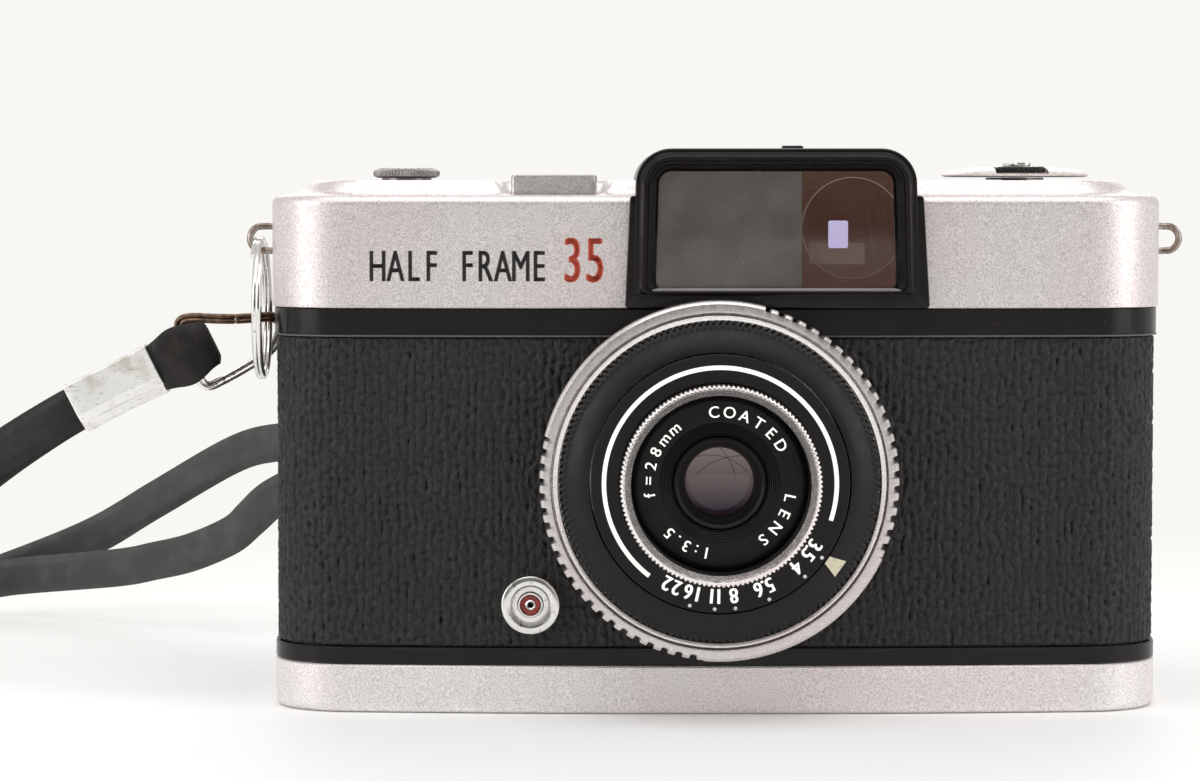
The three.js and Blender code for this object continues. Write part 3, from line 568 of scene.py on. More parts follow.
def lens_view_glow():
    """The lens seen into, as a glow of painted light and shade: violet-grey, darker downwards, with the
    arcs of the blades' edges.
    """
    f = Finish("lens_view_glow", (0.004, 0.003, 0.004), 0.06)
    share = f.remap(f.axis(2), AXIS[1] - 3.4, AXIS[1] + 4.2)
    tone = f.blend(share, (0.014, 0.008, 0.014), (0.19, 0.15, 0.145))
    for x, z, reach in ((-1.2, -3.1, 6.2), (2.6, -4.6, 7.6), (-4.4, -0.6, 6.4)):
        across = f.math("POWER", f.math("SUBTRACT", f.axis(0), AXIS[0] + x), 2.0)
        upright = f.math("POWER", f.math("SUBTRACT", f.axis(2), AXIS[1] + z), 2.0)
        away = f.math("SUBTRACT", f.math("POWER", f.math("ADD", across, upright), 0.5), reach)
        line = f.remap(f.math("ABSOLUTE", away), 0.02, 0.09, 1.0, 0.0)
        upper = f.remap(f.axis(2), AXIS[1], AXIS[1] + 1.2)
        tone = f.blend(
            f.math("MULTIPLY", f.math("MULTIPLY", line, upper), 0.65), tone, (0.02, 0.014, 0.016),
        )
    # Painted light and shade: the whole view into the lens glows, lighter upwards.
    f.set("Emission Color", tone)
    f.set("Emission Strength", 1.0)
    f.set("Specular IOR Level", 0.3)
    f.set("Roughness", f.remap(f.noise(1.6, 5), 0.45, 0.75, 0.04, 0.14))
    return f.material


def glow(name, low, high, axis, start, end, strength, grain=0.0):
    """A surface seen through glass, lit from behind: a smooth change of tone along one axis."""
    f = Finish(name, (0, 0, 0), 0.6)
    share = f.remap(f.axis(axis), start, end)
    if grain:
        cloud = f.remap(f.noise(grain, 3), 0.3, 0.7, -0.25, 0.25)
        share = f.math("ADD", share, cloud)
    f.set("Emission Color", f.blend(share, low, high))
    f.set("Emission Strength", strength)
    f.set("Specular IOR Level", 0.0)
    return f.material


FINISH = {
    "satin_silver": satin_silver(),
    "black_enamel": black_enamel(),
    "black_leatherette": black_leatherette(),
    "bright_chrome": bright_chrome(),
    "black_anodised": black_anodised(),
    "plain_steel": plain_steel(),
    "gear_brass": gear_brass(),
    "coated_glass": coated_glass(),
    "mask_grey": mask_grey(),
    "red_insulator": red_insulator(),
    "strap_leather": strap_leather(),
    "tarnished_wire": tarnished_wire(),
}
RING_PAINT = paint("ring_paint", (0.8, 0.79, 0.77), 0.55)
WHITE_PAINT = paint("white_paint", (0.82, 0.81, 0.78))
BLACK_PAINT = paint("black_paint", (0.02, 0.018, 0.018))
RED_PAINT = paint("red_paint", (0.5, 0.06, 0.03))
CREAM_PAINT = paint("cream_paint", (0.72, 0.68, 0.5))
ALUMINIUM = crimp_aluminium()
LENS_VIEW_GLOW = lens_view_glow()
# A lighter, less metallic copy of the satin silver for the base plate: painted light from the bright
# floor.
BASE_SILVER_FLOOR_LIT = satin_silver("base_silver_floor_lit", 1.1, 0.45)
RING_SILVER = satin_silver("ring_silver", 0.86, 0.85, 0.3, 0.16)
RIM_CHROME = satin_silver("rim_chrome", 1.12, 0.85, 0.22, 0.12)
BUTTON_SILVER = satin_silver("button_silver", 0.8, 0.8)
# Pale grey for the thin lip under the upper band: a painted highlight on black enamel.
LIP_PAINTED_HIGHLIGHT = paint("lip_painted_highlight", (0.1, 0.095, 0.09))
# Pale grey for the finder's lower bevel: a painted reflection of the sky on black enamel.
SILL_PAINTED_REFLECTION = paint("sill_painted_reflection", (0.3, 0.29, 0.285))
COUNTER_METAL = satin_silver("counter_metal", 0.42, 0.9, 0.34)


# ---------- body ----------

def bezier(a, b, c, d, steps):
    points = []
    for i in range(steps):
        t = i / steps
        s = 1 - t
        points.append(tuple(
            s ** 3 * a[k] + 3 * s * s * t * b[k] + 3 * s * t * t * c[k] + t ** 3 * d[k] for k in (0, 1)
        ))
    return points


def body_plan(grow, straight=120, arc=16, side=6):
    """The body's outline in plan from the front left corner, counter-clockwise, grown by `grow`."""
    radius = CORNER + grow
    end = HALF_LENGTH + grow
    front = FRONT_Y - grow
    front_end = front + FRONT_BOW
    rear = REAR_Y + grow
    handle = ARC_HANDLE * radius
    lean = 2 * FRONT_BOW / TURN * handle
    front_corner = [(TURN, front_end), (TURN + handle, front_end + lean),
                    (end, front_end + radius - handle), (end, front_end + radius)]
    rear_corner = [
        (end, rear - radius), (end, rear - radius + handle), (TURN + handle, rear), (TURN, rear),
    ]
    mirrored = lambda corner: [(-x, y) for x, y in reversed(corner)]
    across = [-TURN + 2 * TURN * i / straight for i in range(straight)]
    sides = [(front_end + radius) + (rear - front_end - 2 * radius) * i / side for i in range(side)]
    points = [(x, front + FRONT_BOW * (x / TURN) ** 2) for x in across]
    points += bezier(*front_corner, arc)
    points += [(end, y) for y in sides]
    points += bezier(*rear_corner, arc)
    points += [(-x, rear) for x in across]
    points += bezier(*mirrored(rear_corner), arc)
    points += [(-end, front_end + rear - y) for y in sides]
    points += bezier(*mirrored(front_corner), arc)
    return points


def smooth(t):
    t = max(0.0, min(1.0, t))
    return t * t * (3 - 2 * t)


def half_plan(grow, split, front, samples):
    """The front or rear part of the body's outline, up to the plane y = split, evenly sampled."""
    plan = body_plan(grow, 240, 40, 24)
    corner = next(i for i, (x, y) in enumerate(plan) if x > HALF_LENGTH + grow - 1e-6 and y >= split)
    turn = next(i for i, (x, y) in enumerate(plan) if i > corner and x < 0 and y < split)
    if front:
        line = plan[turn:] + plan[:corner]
        line = [(line[0][0], split)] + line + [(line[-1][0], split)]
    else:
        line = plan[corner:turn]
        line = [(line[0][0], split)] + line + [(line[-1][0], split)]
    return resample(line, samples)


def leather_height(s, z):
    """Depth of the embossing at a place on the covering: grains in rows, gathered into slanting waves."""
    drift = 0.5 * noise.noise(Vector((s / 2.4, z / 3.0, 5.0)))
    drift += 0.25 * noise.noise(Vector((s / 1.1, z / 1.3, 9.0)))
    rib = abs(math.sin(math.pi * (s / 1.05 + drift)))
    pebble = noise.noise(Vector((s / 0.85, z / 0.8, 17.0)))
    fine = noise.noise(Vector((s / 0.34, z / 0.36, 23.0)))
    return 0.24 * (1 - (1 - rib) ** 3) + 0.34 * min(pebble, 0.12) + 0.05 * fine - 0.26


def leather_sheet(line, bottom, top, rows, holes=()):
    """An embossed sheet that follows a line in plan. Each hole is (x, z, radius)."""
    edge = 0.35
    verts, faces, kept = [], [], []
    lengths = [0.0]
    for a, b in zip(line, line[1:]):
        lengths.append(lengths[-1] + (b - a).length)
    for i, here in enumerate(line):
        along = line[min(i + 1, len(line) - 1)] - line[max(i - 1, 0)]
        outward = Vector((along.y, -along.x)).normalized()
        for k in range(rows + 1):
            z = bottom + (top - bottom) * k / rows
            border = min(z - bottom, top - z, lengths[i], lengths[-1] - lengths[i])
            turned_in = 0.3 * (1 - math.sqrt(max(0.0, 1 - (1 - min(border / edge, 1)) ** 2)))
            lift = leather_height(lengths[i], z) * min(border / edge, 1) - 0.1 - turned_in
            spot = here + outward * lift
            x, y = spot.x, spot.y
            kept.append(all(math.hypot(x - hole[0], z - hole[1]) >= hole[2] for hole in holes if y < 0))
            verts.append((x, y, z))
    for i in range(len(line) - 1):
        for k in range(rows):
            a = i * (rows + 1) + k
            corners = (a, a + rows + 1, a + rows + 2, a + 1)
            if all(kept[c] for c in corners):
                faces.append(corners)
    used = sorted({c for face in faces for c in face})
    renumber = {old: new for new, old in enumerate(used)}
    return [verts[i] for i in used], [tuple(renumber[c] for c in face) for face in faces]


def coverings():
    split = LEATHER_HIGH.y
    holes = ((AXIS[0], AXIS[1], MOUNT_OUTSIDE), (SYNC[0], SYNC[1], 3.4))
    front = half_plan(0, split, True, 580)
    piece("front_leather", leather_sheet(front, LEATHER_LOW.z, LEATHER_HIGH.z, 156, holes),
          "black_leatherette", "camera_body", "front_leatherette", sharp=80, thicken=0.35)
    rear = half_plan(0, REAR_LOW.y, False, 330)
    piece("back_leather", leather_sheet(rear, REAR_LOW.z, REAR_HIGH.z, 96),
          "black_leatherette", "back", "back_leatherette", sharp=80, thicken=0.35)


def band(line_at, z0, z1, edge=0.18):
    """A glossy strip with rounded edges that follows the body's outline."""
    inset = 0.35
    profile = [(-inset, z0), (-edge, z0), (0, z0 + edge), (0, z1 - edge), (-edge, z1), (-inset, z1)]
    rings = [[(p.x, p.y, z) for p in line_at(grow)] for grow, z in profile]
    rings.append(rings[0])
    return loft([list(column) for column in zip(*rings)], True, True, True)


def bands():
    """The enamelled edges of the casting and of the back, above and below the covering."""
    groove = 0.24
    for front, body, node, split in (
        (True, "camera_body", "casting", SEAM_FRONT),
        (False, "back", "back", REAR_LOW.y),
    ):
        line_at = lambda grow: half_plan(BAND_PROUD + 0.03 + grow, split, front, 220)
        piece(node + "_upper_band", band(line_at, LEATHER_HIGH.z + groove, COVER_LOW.z - 0.02),
              "black_enamel", body)
        # The lip's paler grey is a painted highlight along the band's lower edge.
        piece(
            node + "_lip",
            band(lambda grow: line_at(grow + 0.08), LEATHER_HIGH.z + 0.02, LEATHER_HIGH.z + 0.22, 0.05),
            "black_enamel", body, material=LIP_PAINTED_HIGHLIGHT,
        )
        piece(node + "_lower_band", band(line_at, BASE_HIGH.z + 0.02, LEATHER_LOW.z - 0.05),
              "black_enamel", body)


def base_plate():
    """A shallow tray with a soft lower edge and openings for the bush, the key and the release."""
    edge = 0.9
    grow = BAND_PROUD + 0.05
    rings = [[(x, y, 1.4) for x, y in body_plan(grow - SHEET)]]
    rings.append([(x, y, BASE_HIGH.z - 0.15) for x, y in body_plan(grow - SHEET)])
    rings.append([(x, y, BASE_HIGH.z) for x, y in body_plan(grow - SHEET + 0.15)])
    rings.append([(x, y, BASE_HIGH.z) for x, y in body_plan(grow - 0.2)])
    rings.append([(x, y, BASE_HIGH.z - 0.2) for x, y in body_plan(grow)])
    for i in range(7):
        angle = math.pi / 2 * i / 6
        shrink = edge * (1 - math.cos(angle))
        rings.append([(x, y, edge - edge * math.sin(angle)) for x, y in body_plan(grow - shrink)])
    nodes = ("tripod_bush", "back_key_disc", "rewind_release_button")
    bush, key, stud = (middle(*extent(node)) for node in nodes)
    # The base plate's lighter silver is painted light from the floor.
    piece(
        "base_plate_fine", loft(rings, True, True, True), "satin_silver", "back", "base_plate",
        material=BASE_SILVER_FLOOR_LIT,
        cutters=(
            prism(circle(5.3, bush), -1, 5),
            prism(circle(7.2, key, 64), -1, 0.9),
            prism(circle(1.7, key), -1, 3),
            prism(circle(1.75, stud), -1, 3),
        ),
    )
    thread = [(3.1 + 0.25 * (i % 2), 0.5 + 0.32 * i) for i in range(13)]
    piece(
        "tripod_bush_fine",
        turned(
            thread + [(5.0, 4.6), (5.2, 4.4), (5.2, 0.4), (4.9, 0.1), (3.5, 0.1), (3.1, 0.5)], bush,
            "Z", 64,
        ),
        "plain_steel", "back", "tripod_bush",
    )


# ---------- top cover ----------

BUTTON_LOW, BUTTON_HIGH = extent("shutter_button")
WHEEL_LOW, WHEEL_HIGH = extent("advance_wheel")
COUNTER_LOW, COUNTER_HIGH = extent("counter_dial")
KNOB_LOW, KNOB_HIGH = extent("rewind_knob")
SPOOL = middle(COUNTER_LOW, COUNTER_HIGH)
CARTRIDGE = ((KNOB_LOW.x + KNOB_HIGH.x) / 2, sum(c.y for c in extent("rewind_shaft")) / 2)
HOUSING_LOW, HOUSING_HIGH = extent("finder_housing")


def notch(x, y):
    """0 on the floor of the notch for the release, 1 on the platform, with a soft slope between."""
    aside = max(BUTTON_LOW.x - 0.15 - x, 0, x - BUTTON_HIGH.x - 0.15)
    behind = max(y - BUTTON_HIGH.y - 0.5, 0)
    return smooth(math.hypot(aside, behind) / 2.1)


def deck_height(x, y, depth):
    """Height of the cover's top at a distance `depth` inside its outline."""
    width = 1.35 + 3.0 * smooth((abs(x) - 43) / 9)
    rise = smooth((depth - 1.7) / width)
    return LEDGE_Z + 0.05 + (STEP_HEIGHT - 0.05) * rise * notch(x, y)


def cover_rings():
    """Rings from the inner ceiling, down the inside, up the wall and over the deck to its middle line."""
    plan = lambda grow: body_plan(grow, 260, 18, 8)
    flat = lambda grow, z: [(x, y, z) for x, y in plan(grow)]
    inner = COVER_PROUD - SHEET
    foot = COVER_LOW.z
    rings = [
        flat(inner, 61.5), flat(inner, foot), flat(COVER_PROUD - 0.12, foot),
        flat(COVER_PROUD, foot + 0.12),
    ]
    edge = 1.25
    shoulder = LEDGE_Z + 0.05 - edge
    rings += [flat(COVER_PROUD, z) for z in (52, 55, 58, shoulder)]
    for i in range(1, 9):
        angle = math.pi / 2 * i / 8
        rings.append(flat(COVER_PROUD - edge * (1 - math.cos(angle)), shoulder + edge * math.sin(angle)))
    depths = [0.95 + 0.22 * i for i in range(1, 17)]
    for depth in depths:
        rings.append([(x, y, deck_height(x, y, depth)) for x, y in plan(-depth)])
    last = plan(-depths[-1])
    spine_y = (FRONT_Y + REAR_Y) / 2
    spine_end = TURN - 3
    reach = spine_y - FRONT_Y - depths[-1]
    steps = 34
    for k in range(1, steps + 1):
        t = k / steps
        ring = []
        for x, y in last:
            spine_x = max(-TURN, min(TURN, x)) * spine_end / TURN
            at = (x + (spine_x - x) * t, y + (spine_y - y) * t)
            ring.append((*at, deck_height(*at, depths[-1] + reach * t)))
        rings.append(ring)
    return rings


def top_cover():
    button = rectangle(
        BUTTON_LOW.x - 0.16, BUTTON_HIGH.x + 0.16, BUTTON_LOW.y - 0.16, BUTTON_HIGH.y + 0.16, 0.5,
    )
    slot = rectangle(SPOOL[0] - 9.5, SPOOL[0] + 9.5, WHEEL_LOW.z + 0.2, WHEEL_HIGH.z + 0.4, 0.8)
    finder = [
        (HOUSING_LOW.x + 2.2, -20), (HOUSING_HIGH.x - 2.5, -20), (HOUSING_HIGH.x - 2.5, 20),
        (HOUSING_LOW.x + 2.2, 20),
    ]
    piece(
        "top_cover_fine", loft(cover_rings(), True, True, False), "satin_silver", "camera_body",
        "top_cover",
        cutters=(
            prism(button, 60, 70), prism(finder, 50.8, 75), prism(circle(3.3, SPOOL), 60, 70),
            prism(circle(1.8, CARTRIDGE), 60, 70), facing_prism(slot, 12, 20),
        ),
    )


def letter_mesh(letter, height, raised):
    """One character standing on XY, centred on its middle height, as (vertices, faces)."""
    curve = bpy.data.curves.new("letter", "FONT")
    curve.body = letter
    curve.size = height / 0.73
    curve.align_x = "CENTER"
    curve.resolution_u = 4
    curve.extrude = raised / 2
    outline = bpy.data.objects.new("letter", curve)
    bpy.context.scene.collection.objects.link(outline)
    graph = bpy.context.evaluated_depsgraph_get()
    mesh = bpy.data.meshes.new_from_object(outline.evaluated_get(graph))
    bpy.data.objects.remove(outline)
    points = [Vector((v.co.x, v.co.y - height / 2, v.co.z)) for v in mesh.vertices]
    return points, [tuple(f.vertices) for f in mesh.polygons]


def lettering(name, words, height, material, body, place, raised=0.04, squeeze=1.0, weight=0.02):
    """Generic lettering as one raised mesh, each letter struck twice, a little aside, for its weight.
    `place` maps a letter's index to a matrix."""
    struck = []
    for index, letter in enumerate(words):
        if letter == " ":
            continue
        points, faces = letter_mesh(letter, height, raised)
        for aside in (-weight * height, weight * height):
            moved = [tuple(place(index) @ Vector((p.x * squeeze + aside, p.y, p.z))) for p in points]
            struck.append((moved, faces))
    piece(name, combine(*struck), "black_enamel", body, material=material)


# Letters are drawn in XY facing +Z. This turns them upright, facing the front.
FACE_FRONT = Matrix(((1, 0, 0, 0), (0, 0, -1, 0), (0, 1, 0, 0), (0, 0, 0, 1)))


def cover_front(x):
    return COVER_LOW.y + FRONT_BOW * (x / TURN) ** 2


def along_cover(start, pitch, z):
    def place(index):
        x = start + pitch * index
        slope = math.atan(2 * FRONT_BOW * x / TURN ** 2)
        at = (x, cover_front(x) - 0.01, z)
        return Matrix.Translation(at) @ Matrix.Rotation(slope, 4, "Z") @ FACE_FRONT
    return place


def cover_lettering():
    lettering(
        "type_lettering", "HALF FRAME", 3.9, BLACK_PAINT, "camera_body", along_cover(-41, 2.16, 54.4),
        squeeze=0.58,
    )
    lettering(
        "film_numeral", "35", 5.6, RED_PAINT, "camera_body", along_cover(-17.5, 2.7, 55.2),
        squeeze=0.62,
    )


def round_place(radius, depth, start, pitch):
    """Letters round the lens axis with their tops outward, read clockwise from `start` degrees."""
    def place(index):
        angle = math.radians(start - pitch * index)
        at = (AXIS[0] + radius * math.cos(angle), depth, AXIS[1] + radius * math.sin(angle))
        return Matrix.Translation(at) @ Matrix.Rotation(math.pi / 2 - angle, 4, "Y") @ FACE_FRONT
    return place


# ---------- finder ----------

HOOD_TOP = HOUSING_HIGH.z
HOOD_FRONT = HOUSING_LOW.y
HOOD_REAR = HOUSING_HIGH.y - 0.1
HOOD_CORNER = 4.3
HOOD_BOTTOM = 50.7


def hood_ring(inset, y):
    """Outline of the finder's hood, drawn in by `inset`, at a depth y."""
    top, bottom = HOOD_TOP - inset, HOOD_BOTTOM + inset * 0.35
    corners = [
        (HOUSING_LOW.x + 0.95 + inset, bottom), (HOUSING_HIGH.x - 1.0 - inset, bottom),
        (HOUSING_HIGH.x - 1.45 - inset, top), (HOUSING_LOW.x + 1.35 + inset, top),
    ]
    arch = max(HOOD_CORNER - inset, 1.0)
    foot = 0.8
    return [(x, y, z) for x, z in rounded_polygon(corners, [foot, foot, arch, arch], 12)]


def finder_housing():
    front = HOOD_FRONT
    eye_low, eye_high = extent("finder_eyepiece")
    eye = lambda grow, y: [
        (x, y, z)
        for x, z in rectangle(
            eye_low.x - grow, eye_high.x + grow, eye_low.z - grow, eye_high.z + grow, 1.2, 12,
        )
    ]
    bezel = [
        (0, HOOD_REAR - 0.5), (0, front + 1.3), (0.06, front + 0.95), (0.2, front + 0.8),
        (0.5, front + 0.78), (0.6, front + 0.7), (0.95, front + 0.08), (1.05, front), (1.3, front),
        (1.4, front + 0.1), (1.45, front + 0.4), (1.58, front + 0.4), (1.66, front + 0.28),
        (1.76, front + 0.3), (2.75, front + 1.75), (2.75, front + 2.6), (1.2, front + 2.6),
        (1.2, HOOD_REAR - 1.6),
    ]
    rings = [hood_ring(inset, y) for inset, y in bezel]
    rings += [eye(0.2, HOOD_REAR - 1.6), eye(0.2, HOOD_REAR - 0.2), eye(0.45, HOOD_REAR)]
    rings += [hood_ring(0.5, HOOD_REAR), hood_ring(0.14, HOOD_REAR - 0.14), rings[0]]
    hood = loft(rings)

    corners = [(HOUSING_LOW.x, COVER_LOW.z + 0.02), (HOUSING_HIGH.x + 0.25, COVER_LOW.z + 0.02),
               (HOUSING_HIGH.x - 0.55, 62.75), (HOUSING_LOW.x + 0.6, 62.75)]

    def apron_ring(inset, y):
        middle_x = sum(x for x, z in corners) / 4
        middle_z = sum(z for x, z in corners) / 4
        drawn = [
            (x - math.copysign(inset, x - middle_x), z - math.copysign(inset, z - middle_z))
            for x, z in corners
        ]
        return [(x, y, z) for x, z in rounded_polygon(drawn, 0.5, 12)]

    back, face = COVER_LOW.y - 0.05, front + 1.05
    apron = [apron_ring(0, back), apron_ring(0, face + 0.25), apron_ring(0.08, face + 0.07),
             apron_ring(0.25, face), apron_ring(2.2, face), apron_ring(2.2, back), apron_ring(0, back)]
    piece("finder_hood", hood, "black_enamel", "camera_body", "finder_housing")
    piece("finder_apron", loft(apron), "black_enamel", "camera_body",
          cutters=(loft([hood_ring(1.0, y) for y in (face - 2, face + 4)], True, True, True),))


def finder_sill():
    """The bevel under the window, painted pale: a painted reflection of the sky on its up-facing slope.
    """
    front = HOOD_FRONT + 0.3
    rows = ((1.86, 0.12), (2.2, 0.62), (2.62, 1.4))
    left, right = HOUSING_LOW.x + 3.2, HOUSING_HIGH.x - 3.2
    upper, lower = [], []
    for inset, back in rows:
        z = HOOD_BOTTOM + inset * 0.35
        upper.append((left + 0.2 * back, right - 0.2 * back, front + back - 0.06, z + 0.1))
        lower.append((left + 0.2 * back, right - 0.2 * back, front + back, z - 0.1))
    outline = upper + lower[::-1]
    rings = [[(row[side], row[2], row[3]) for row in outline] for side in (0, 1)]
    piece("finder_sill", loft(rings, True, True, True), "black_enamel", "camera_body", material=SILL_PAINTED_REFLECTION)


def finder_optics():
    """Window glass, painted mask, the brown tunnel with its lens, and the bright eyepiece behind. The
    tunnel, the lens rim, the eyepiece and a reflection patch glow: painted light.
    """
    pane_low, pane_high = extent("finder_window")
    mask_low, mask_high = extent("finder_mask")
    lens_low, lens_high = extent("finder_front_lens")
    eye_low, eye_high = extent("finder_eyepiece")
    pane = lambda inset, y: [
        (x, y, z)
        for x, z in rectangle(
            pane_low.x + 0.2 + inset, pane_high.x - inset, pane_low.z + inset, pane_high.z - inset, 0.8,
            6,
        )
    ]
    depth = pane_low.y + 0.62
    piece(
        "finder_pane",
        loft(
            [pane(0.1, depth), pane(0, depth + 0.08), pane(0, depth + 0.5), pane(0.1, depth + 0.58)],
            True, True, True,
        ),
        "coated_glass", "camera_body", "finder_window",
    )
    plate = [(mask_low.x - 0.9, mask_low.z - 0.6), (mask_high.x, mask_low.z - 0.6),
             (mask_high.x, mask_high.z + 0.3), (mask_low.x - 0.9, mask_high.z + 0.3)]
    piece("finder_mask_plate", facing_prism(rounded_polygon(plate, 0.15, 3), mask_low.y, mask_high.y),
          "mask_grey", "camera_body", "finder_mask")

    # Painted light: the brown tunnel glows, lighter upwards.
    brown = glow("finder_tunnel", (0.06, 0.02, 0.014), (0.085, 0.05, 0.036), 2, 50, 66, 1.0, 3.5)
    left, right = lens_low.x - 0.1, lens_high.x + 0.9
    low, high = lens_low.z - 0.6, lens_high.z + 0.3
    frame_back = mask_high.y + 1.2
    tunnel_end = eye_low.y - 1.5
    shrink = 2.4
    rings = [
        [
            (left, mask_high.y, low), (right, mask_high.y, low), (right, mask_high.y, high),
            (left, mask_high.y, high),
        ],
        [
            (left, frame_back, low), (right, frame_back, low), (right, frame_back, high),
            (left, frame_back, high),
        ],
        [
            (left + shrink, tunnel_end, low + shrink), (right - shrink, tunnel_end, low + shrink),
            (right - shrink, tunnel_end, high - shrink), (left + shrink, tunnel_end, high - shrink),
        ],
    ]
    piece(
        "finder_tunnel", loft(rings, True, False, True), "black_anodised", "camera_body",
        material=brown, thicken=-0.3,
    )

    centre = ((left + right) / 2 + 0.2, (low + high) / 2 + 0.2)
    radius = 6.0
    dome = [(radius * math.sin(a), mask_high.y + 1.1 - 0.8 * (math.cos(a) - math.cos(1.0)))
            for a in [1.0 * i / 10 for i in range(11)]]
    dome = [(r / math.sin(1.0), y) for r, y in dome]
    back = [(radius, mask_high.y + 1.5), (0, mask_high.y + 1.5)]
    piece(
        "finder_lens_dome", turned(dome + back, centre, "Y", 72), "coated_glass", "camera_body",
        "finder_front_lens",
    )
    rim = [
        (radius + 0.02, dome[-1][1]), (radius + 0.13, dome[-1][1] - 0.03),
        (radius + 0.13, dome[-1][1] + 0.2), (radius + 0.02, dome[-1][1] + 0.2),
        (radius + 0.02, dome[-1][1]),
    ]
    # Painted light: the finder lens's rim glows warm, lighter upwards.
    painted_rim_glow = glow("lens_rim", (0.09, 0.06, 0.045), (0.25, 0.2, 0.16), 2, 52, 66, 1.0)
    piece("finder_lens_rim", turned(rim, centre, "Y", 72), "black_anodised", "camera_body", material=painted_rim_glow)

    sky = glow("eyepiece_light", (0.62, 0.56, 0.9), (0.72, 0.68, 1.0), 2, 55, 60, 1.0)
    view = rectangle(centre[0] - 1.32, centre[0] + 1.18, 56.0, 59.5, 0.25, 4)
    piece(
        "finder_view", facing_prism(view, tunnel_end - 0.6, tunnel_end - 0.4), "coated_glass",
        "camera_body", material=sky,
    )
    patch = glow("finder_reflection", (0.09, 0.055, 0.04), (0.14, 0.1, 0.075), 0, 10, 22, 1.0, 2.0)
    shade = [
        (centre[0] - 3.9, 53.8), (centre[0] - 2.0, 53.0), (centre[0] + 3.6, 53.3),
        (centre[0] + 4.2, 56.6), (centre[0] - 4.4, 56.8),
    ]
    piece(
        "finder_glint",
        facing_prism(rounded_polygon(shade, 0.5, 4), tunnel_end - 0.35, tunnel_end - 0.3),
        "black_anodised", "camera_body", material=patch,
    )

    eye = lambda inset, y: [
        (x, y, z)
        for x, z in rectangle(
            eye_low.x + inset, eye_high.x - inset, eye_low.z + inset, eye_high.z - inset, 1.0, 6,
        )
    ]
    piece(
        "finder_eyepiece_fine",
        loft(
            [
                eye(0.1, eye_low.y), eye(0, eye_low.y + 0.1), eye(0, HOOD_REAR - 0.5),
                eye(0.3, HOOD_REAR - 0.3),
            ],
            True, True, True,
        ),
        "coated_glass", "camera_body", "finder_eyepiece",
    )
    screw_low, screw_high = extent("finder_roof_screw")
    screw = middle(screw_low, screw_high)
    head = [
        (0, screw_low.z), (1.3, screw_low.z), (1.35, screw_low.z + 0.1), (1.2, screw_high.z),
        (0, screw_high.z),
    ]
    slot = [(screw[0] + x, screw[1] + y) for x, y in ((-2, -0.15), (2, -0.15), (2, 0.15), (-2, 0.15))]
    piece(
        "finder_screw", turned(head, screw, "Z", 48), "black_anodised", "camera_body",
        "finder_roof_screw",
        cutters=(prism(slot, screw_high.z - 0.15, 80),),
    )


# ---------- controls on the top ----------

def controls():
    cap = lambda inset, z: [(x, y, z) for x, y in rectangle(
        BUTTON_LOW.x + inset, BUTTON_HIGH.x - inset, BUTTON_LOW.y + inset, BUTTON_HIGH.y - inset, 0.5, 5)]
    top, low = BUTTON_HIGH.z, BUTTON_LOW.z
    rings = [
        cap(0.05, low), cap(0, low + 0.1), cap(0, 62.5), cap(0, top - 0.3), cap(0.09, top - 0.1),
        cap(0.3, top), cap(1.5, top - 0.02), cap(3.0, top - 0.08),
    ]
    piece(
        "release_button_fine", loft(rings, True, True, True), "satin_silver", "shutter_button",
        "shutter_button", material=BUTTON_SILVER,
        cutters=(
            prism(circle(1.0, middle(BUTTON_LOW, BUTTON_HIGH), 32), top - 1.2, 70),
        ),
    )

    low, top = COUNTER_LOW.z, COUNTER_HIGH.z
    radius = (COUNTER_HIGH.x - COUNTER_LOW.x) / 2
    head = top - 1.2
    dial = [
        (0, low), (3.1, low), (3.1, head), (radius - 0.5, head), (radius - 0.1, head + 0.2),
        (radius, head + 0.45), (radius - 0.05, top - 0.35), (radius - 0.4, top - 0.1),
        (radius - 0.9, top - 0.02), (0, top),
    ]
    serrated = lambda r, z, a: 0.05 * math.cos(math.radians(a) * 60) if r > radius - 0.12 else 0
    piece(
        "counter_dial_fine", turned(dial, SPOOL, "Z", 480, serrated), "bright_chrome", "counter_dial",
        "counter_dial", material=COUNTER_METAL,
    )
    ticks = []
    for i in range(24):
        angle = 2 * math.pi * i / 24
        long = 0.75 if i % 6 == 0 else 0.4
        spoke = ((3.3, -0.05), (3.3, 0.05), (3.3 - long, 0.05), (3.3 - long, -0.05))
        turn = lambda r, s: (
            SPOOL[0] + r * math.cos(angle) - s * math.sin(angle),
            SPOOL[1] + r * math.sin(angle) + s * math.cos(angle),
        )
        ticks.append(prism([turn(*corner) for corner in spoke], top - 0.1, top + 0.015))
    piece("counter_ticks", combine(*ticks), "black_enamel", "counter_dial", material=BLACK_PAINT)

    radius = (WHEEL_HIGH.x - WHEEL_LOW.x) / 2
    low, top = WHEEL_LOW.z + 0.6, WHEEL_HIGH.z
    rim = [
        (0, WHEEL_LOW.z), (3, WHEEL_LOW.z), (3, low), (radius - 0.7, low), (radius, low + 0.3),
        (radius, top - 0.3), (radius - 0.7, top), (0, top),
    ]
    knurl = lambda r, z, a: -0.25 * (1 - abs(math.sin(math.radians(a) * 54))) if r > radius - 0.1 else 0
    piece(
        "advance_wheel_fine", turned(rim, SPOOL, "Z", 1080, knurl), "satin_silver", "advance_wheel",
        "advance_wheel", material=FINISH["bright_chrome"],
    )


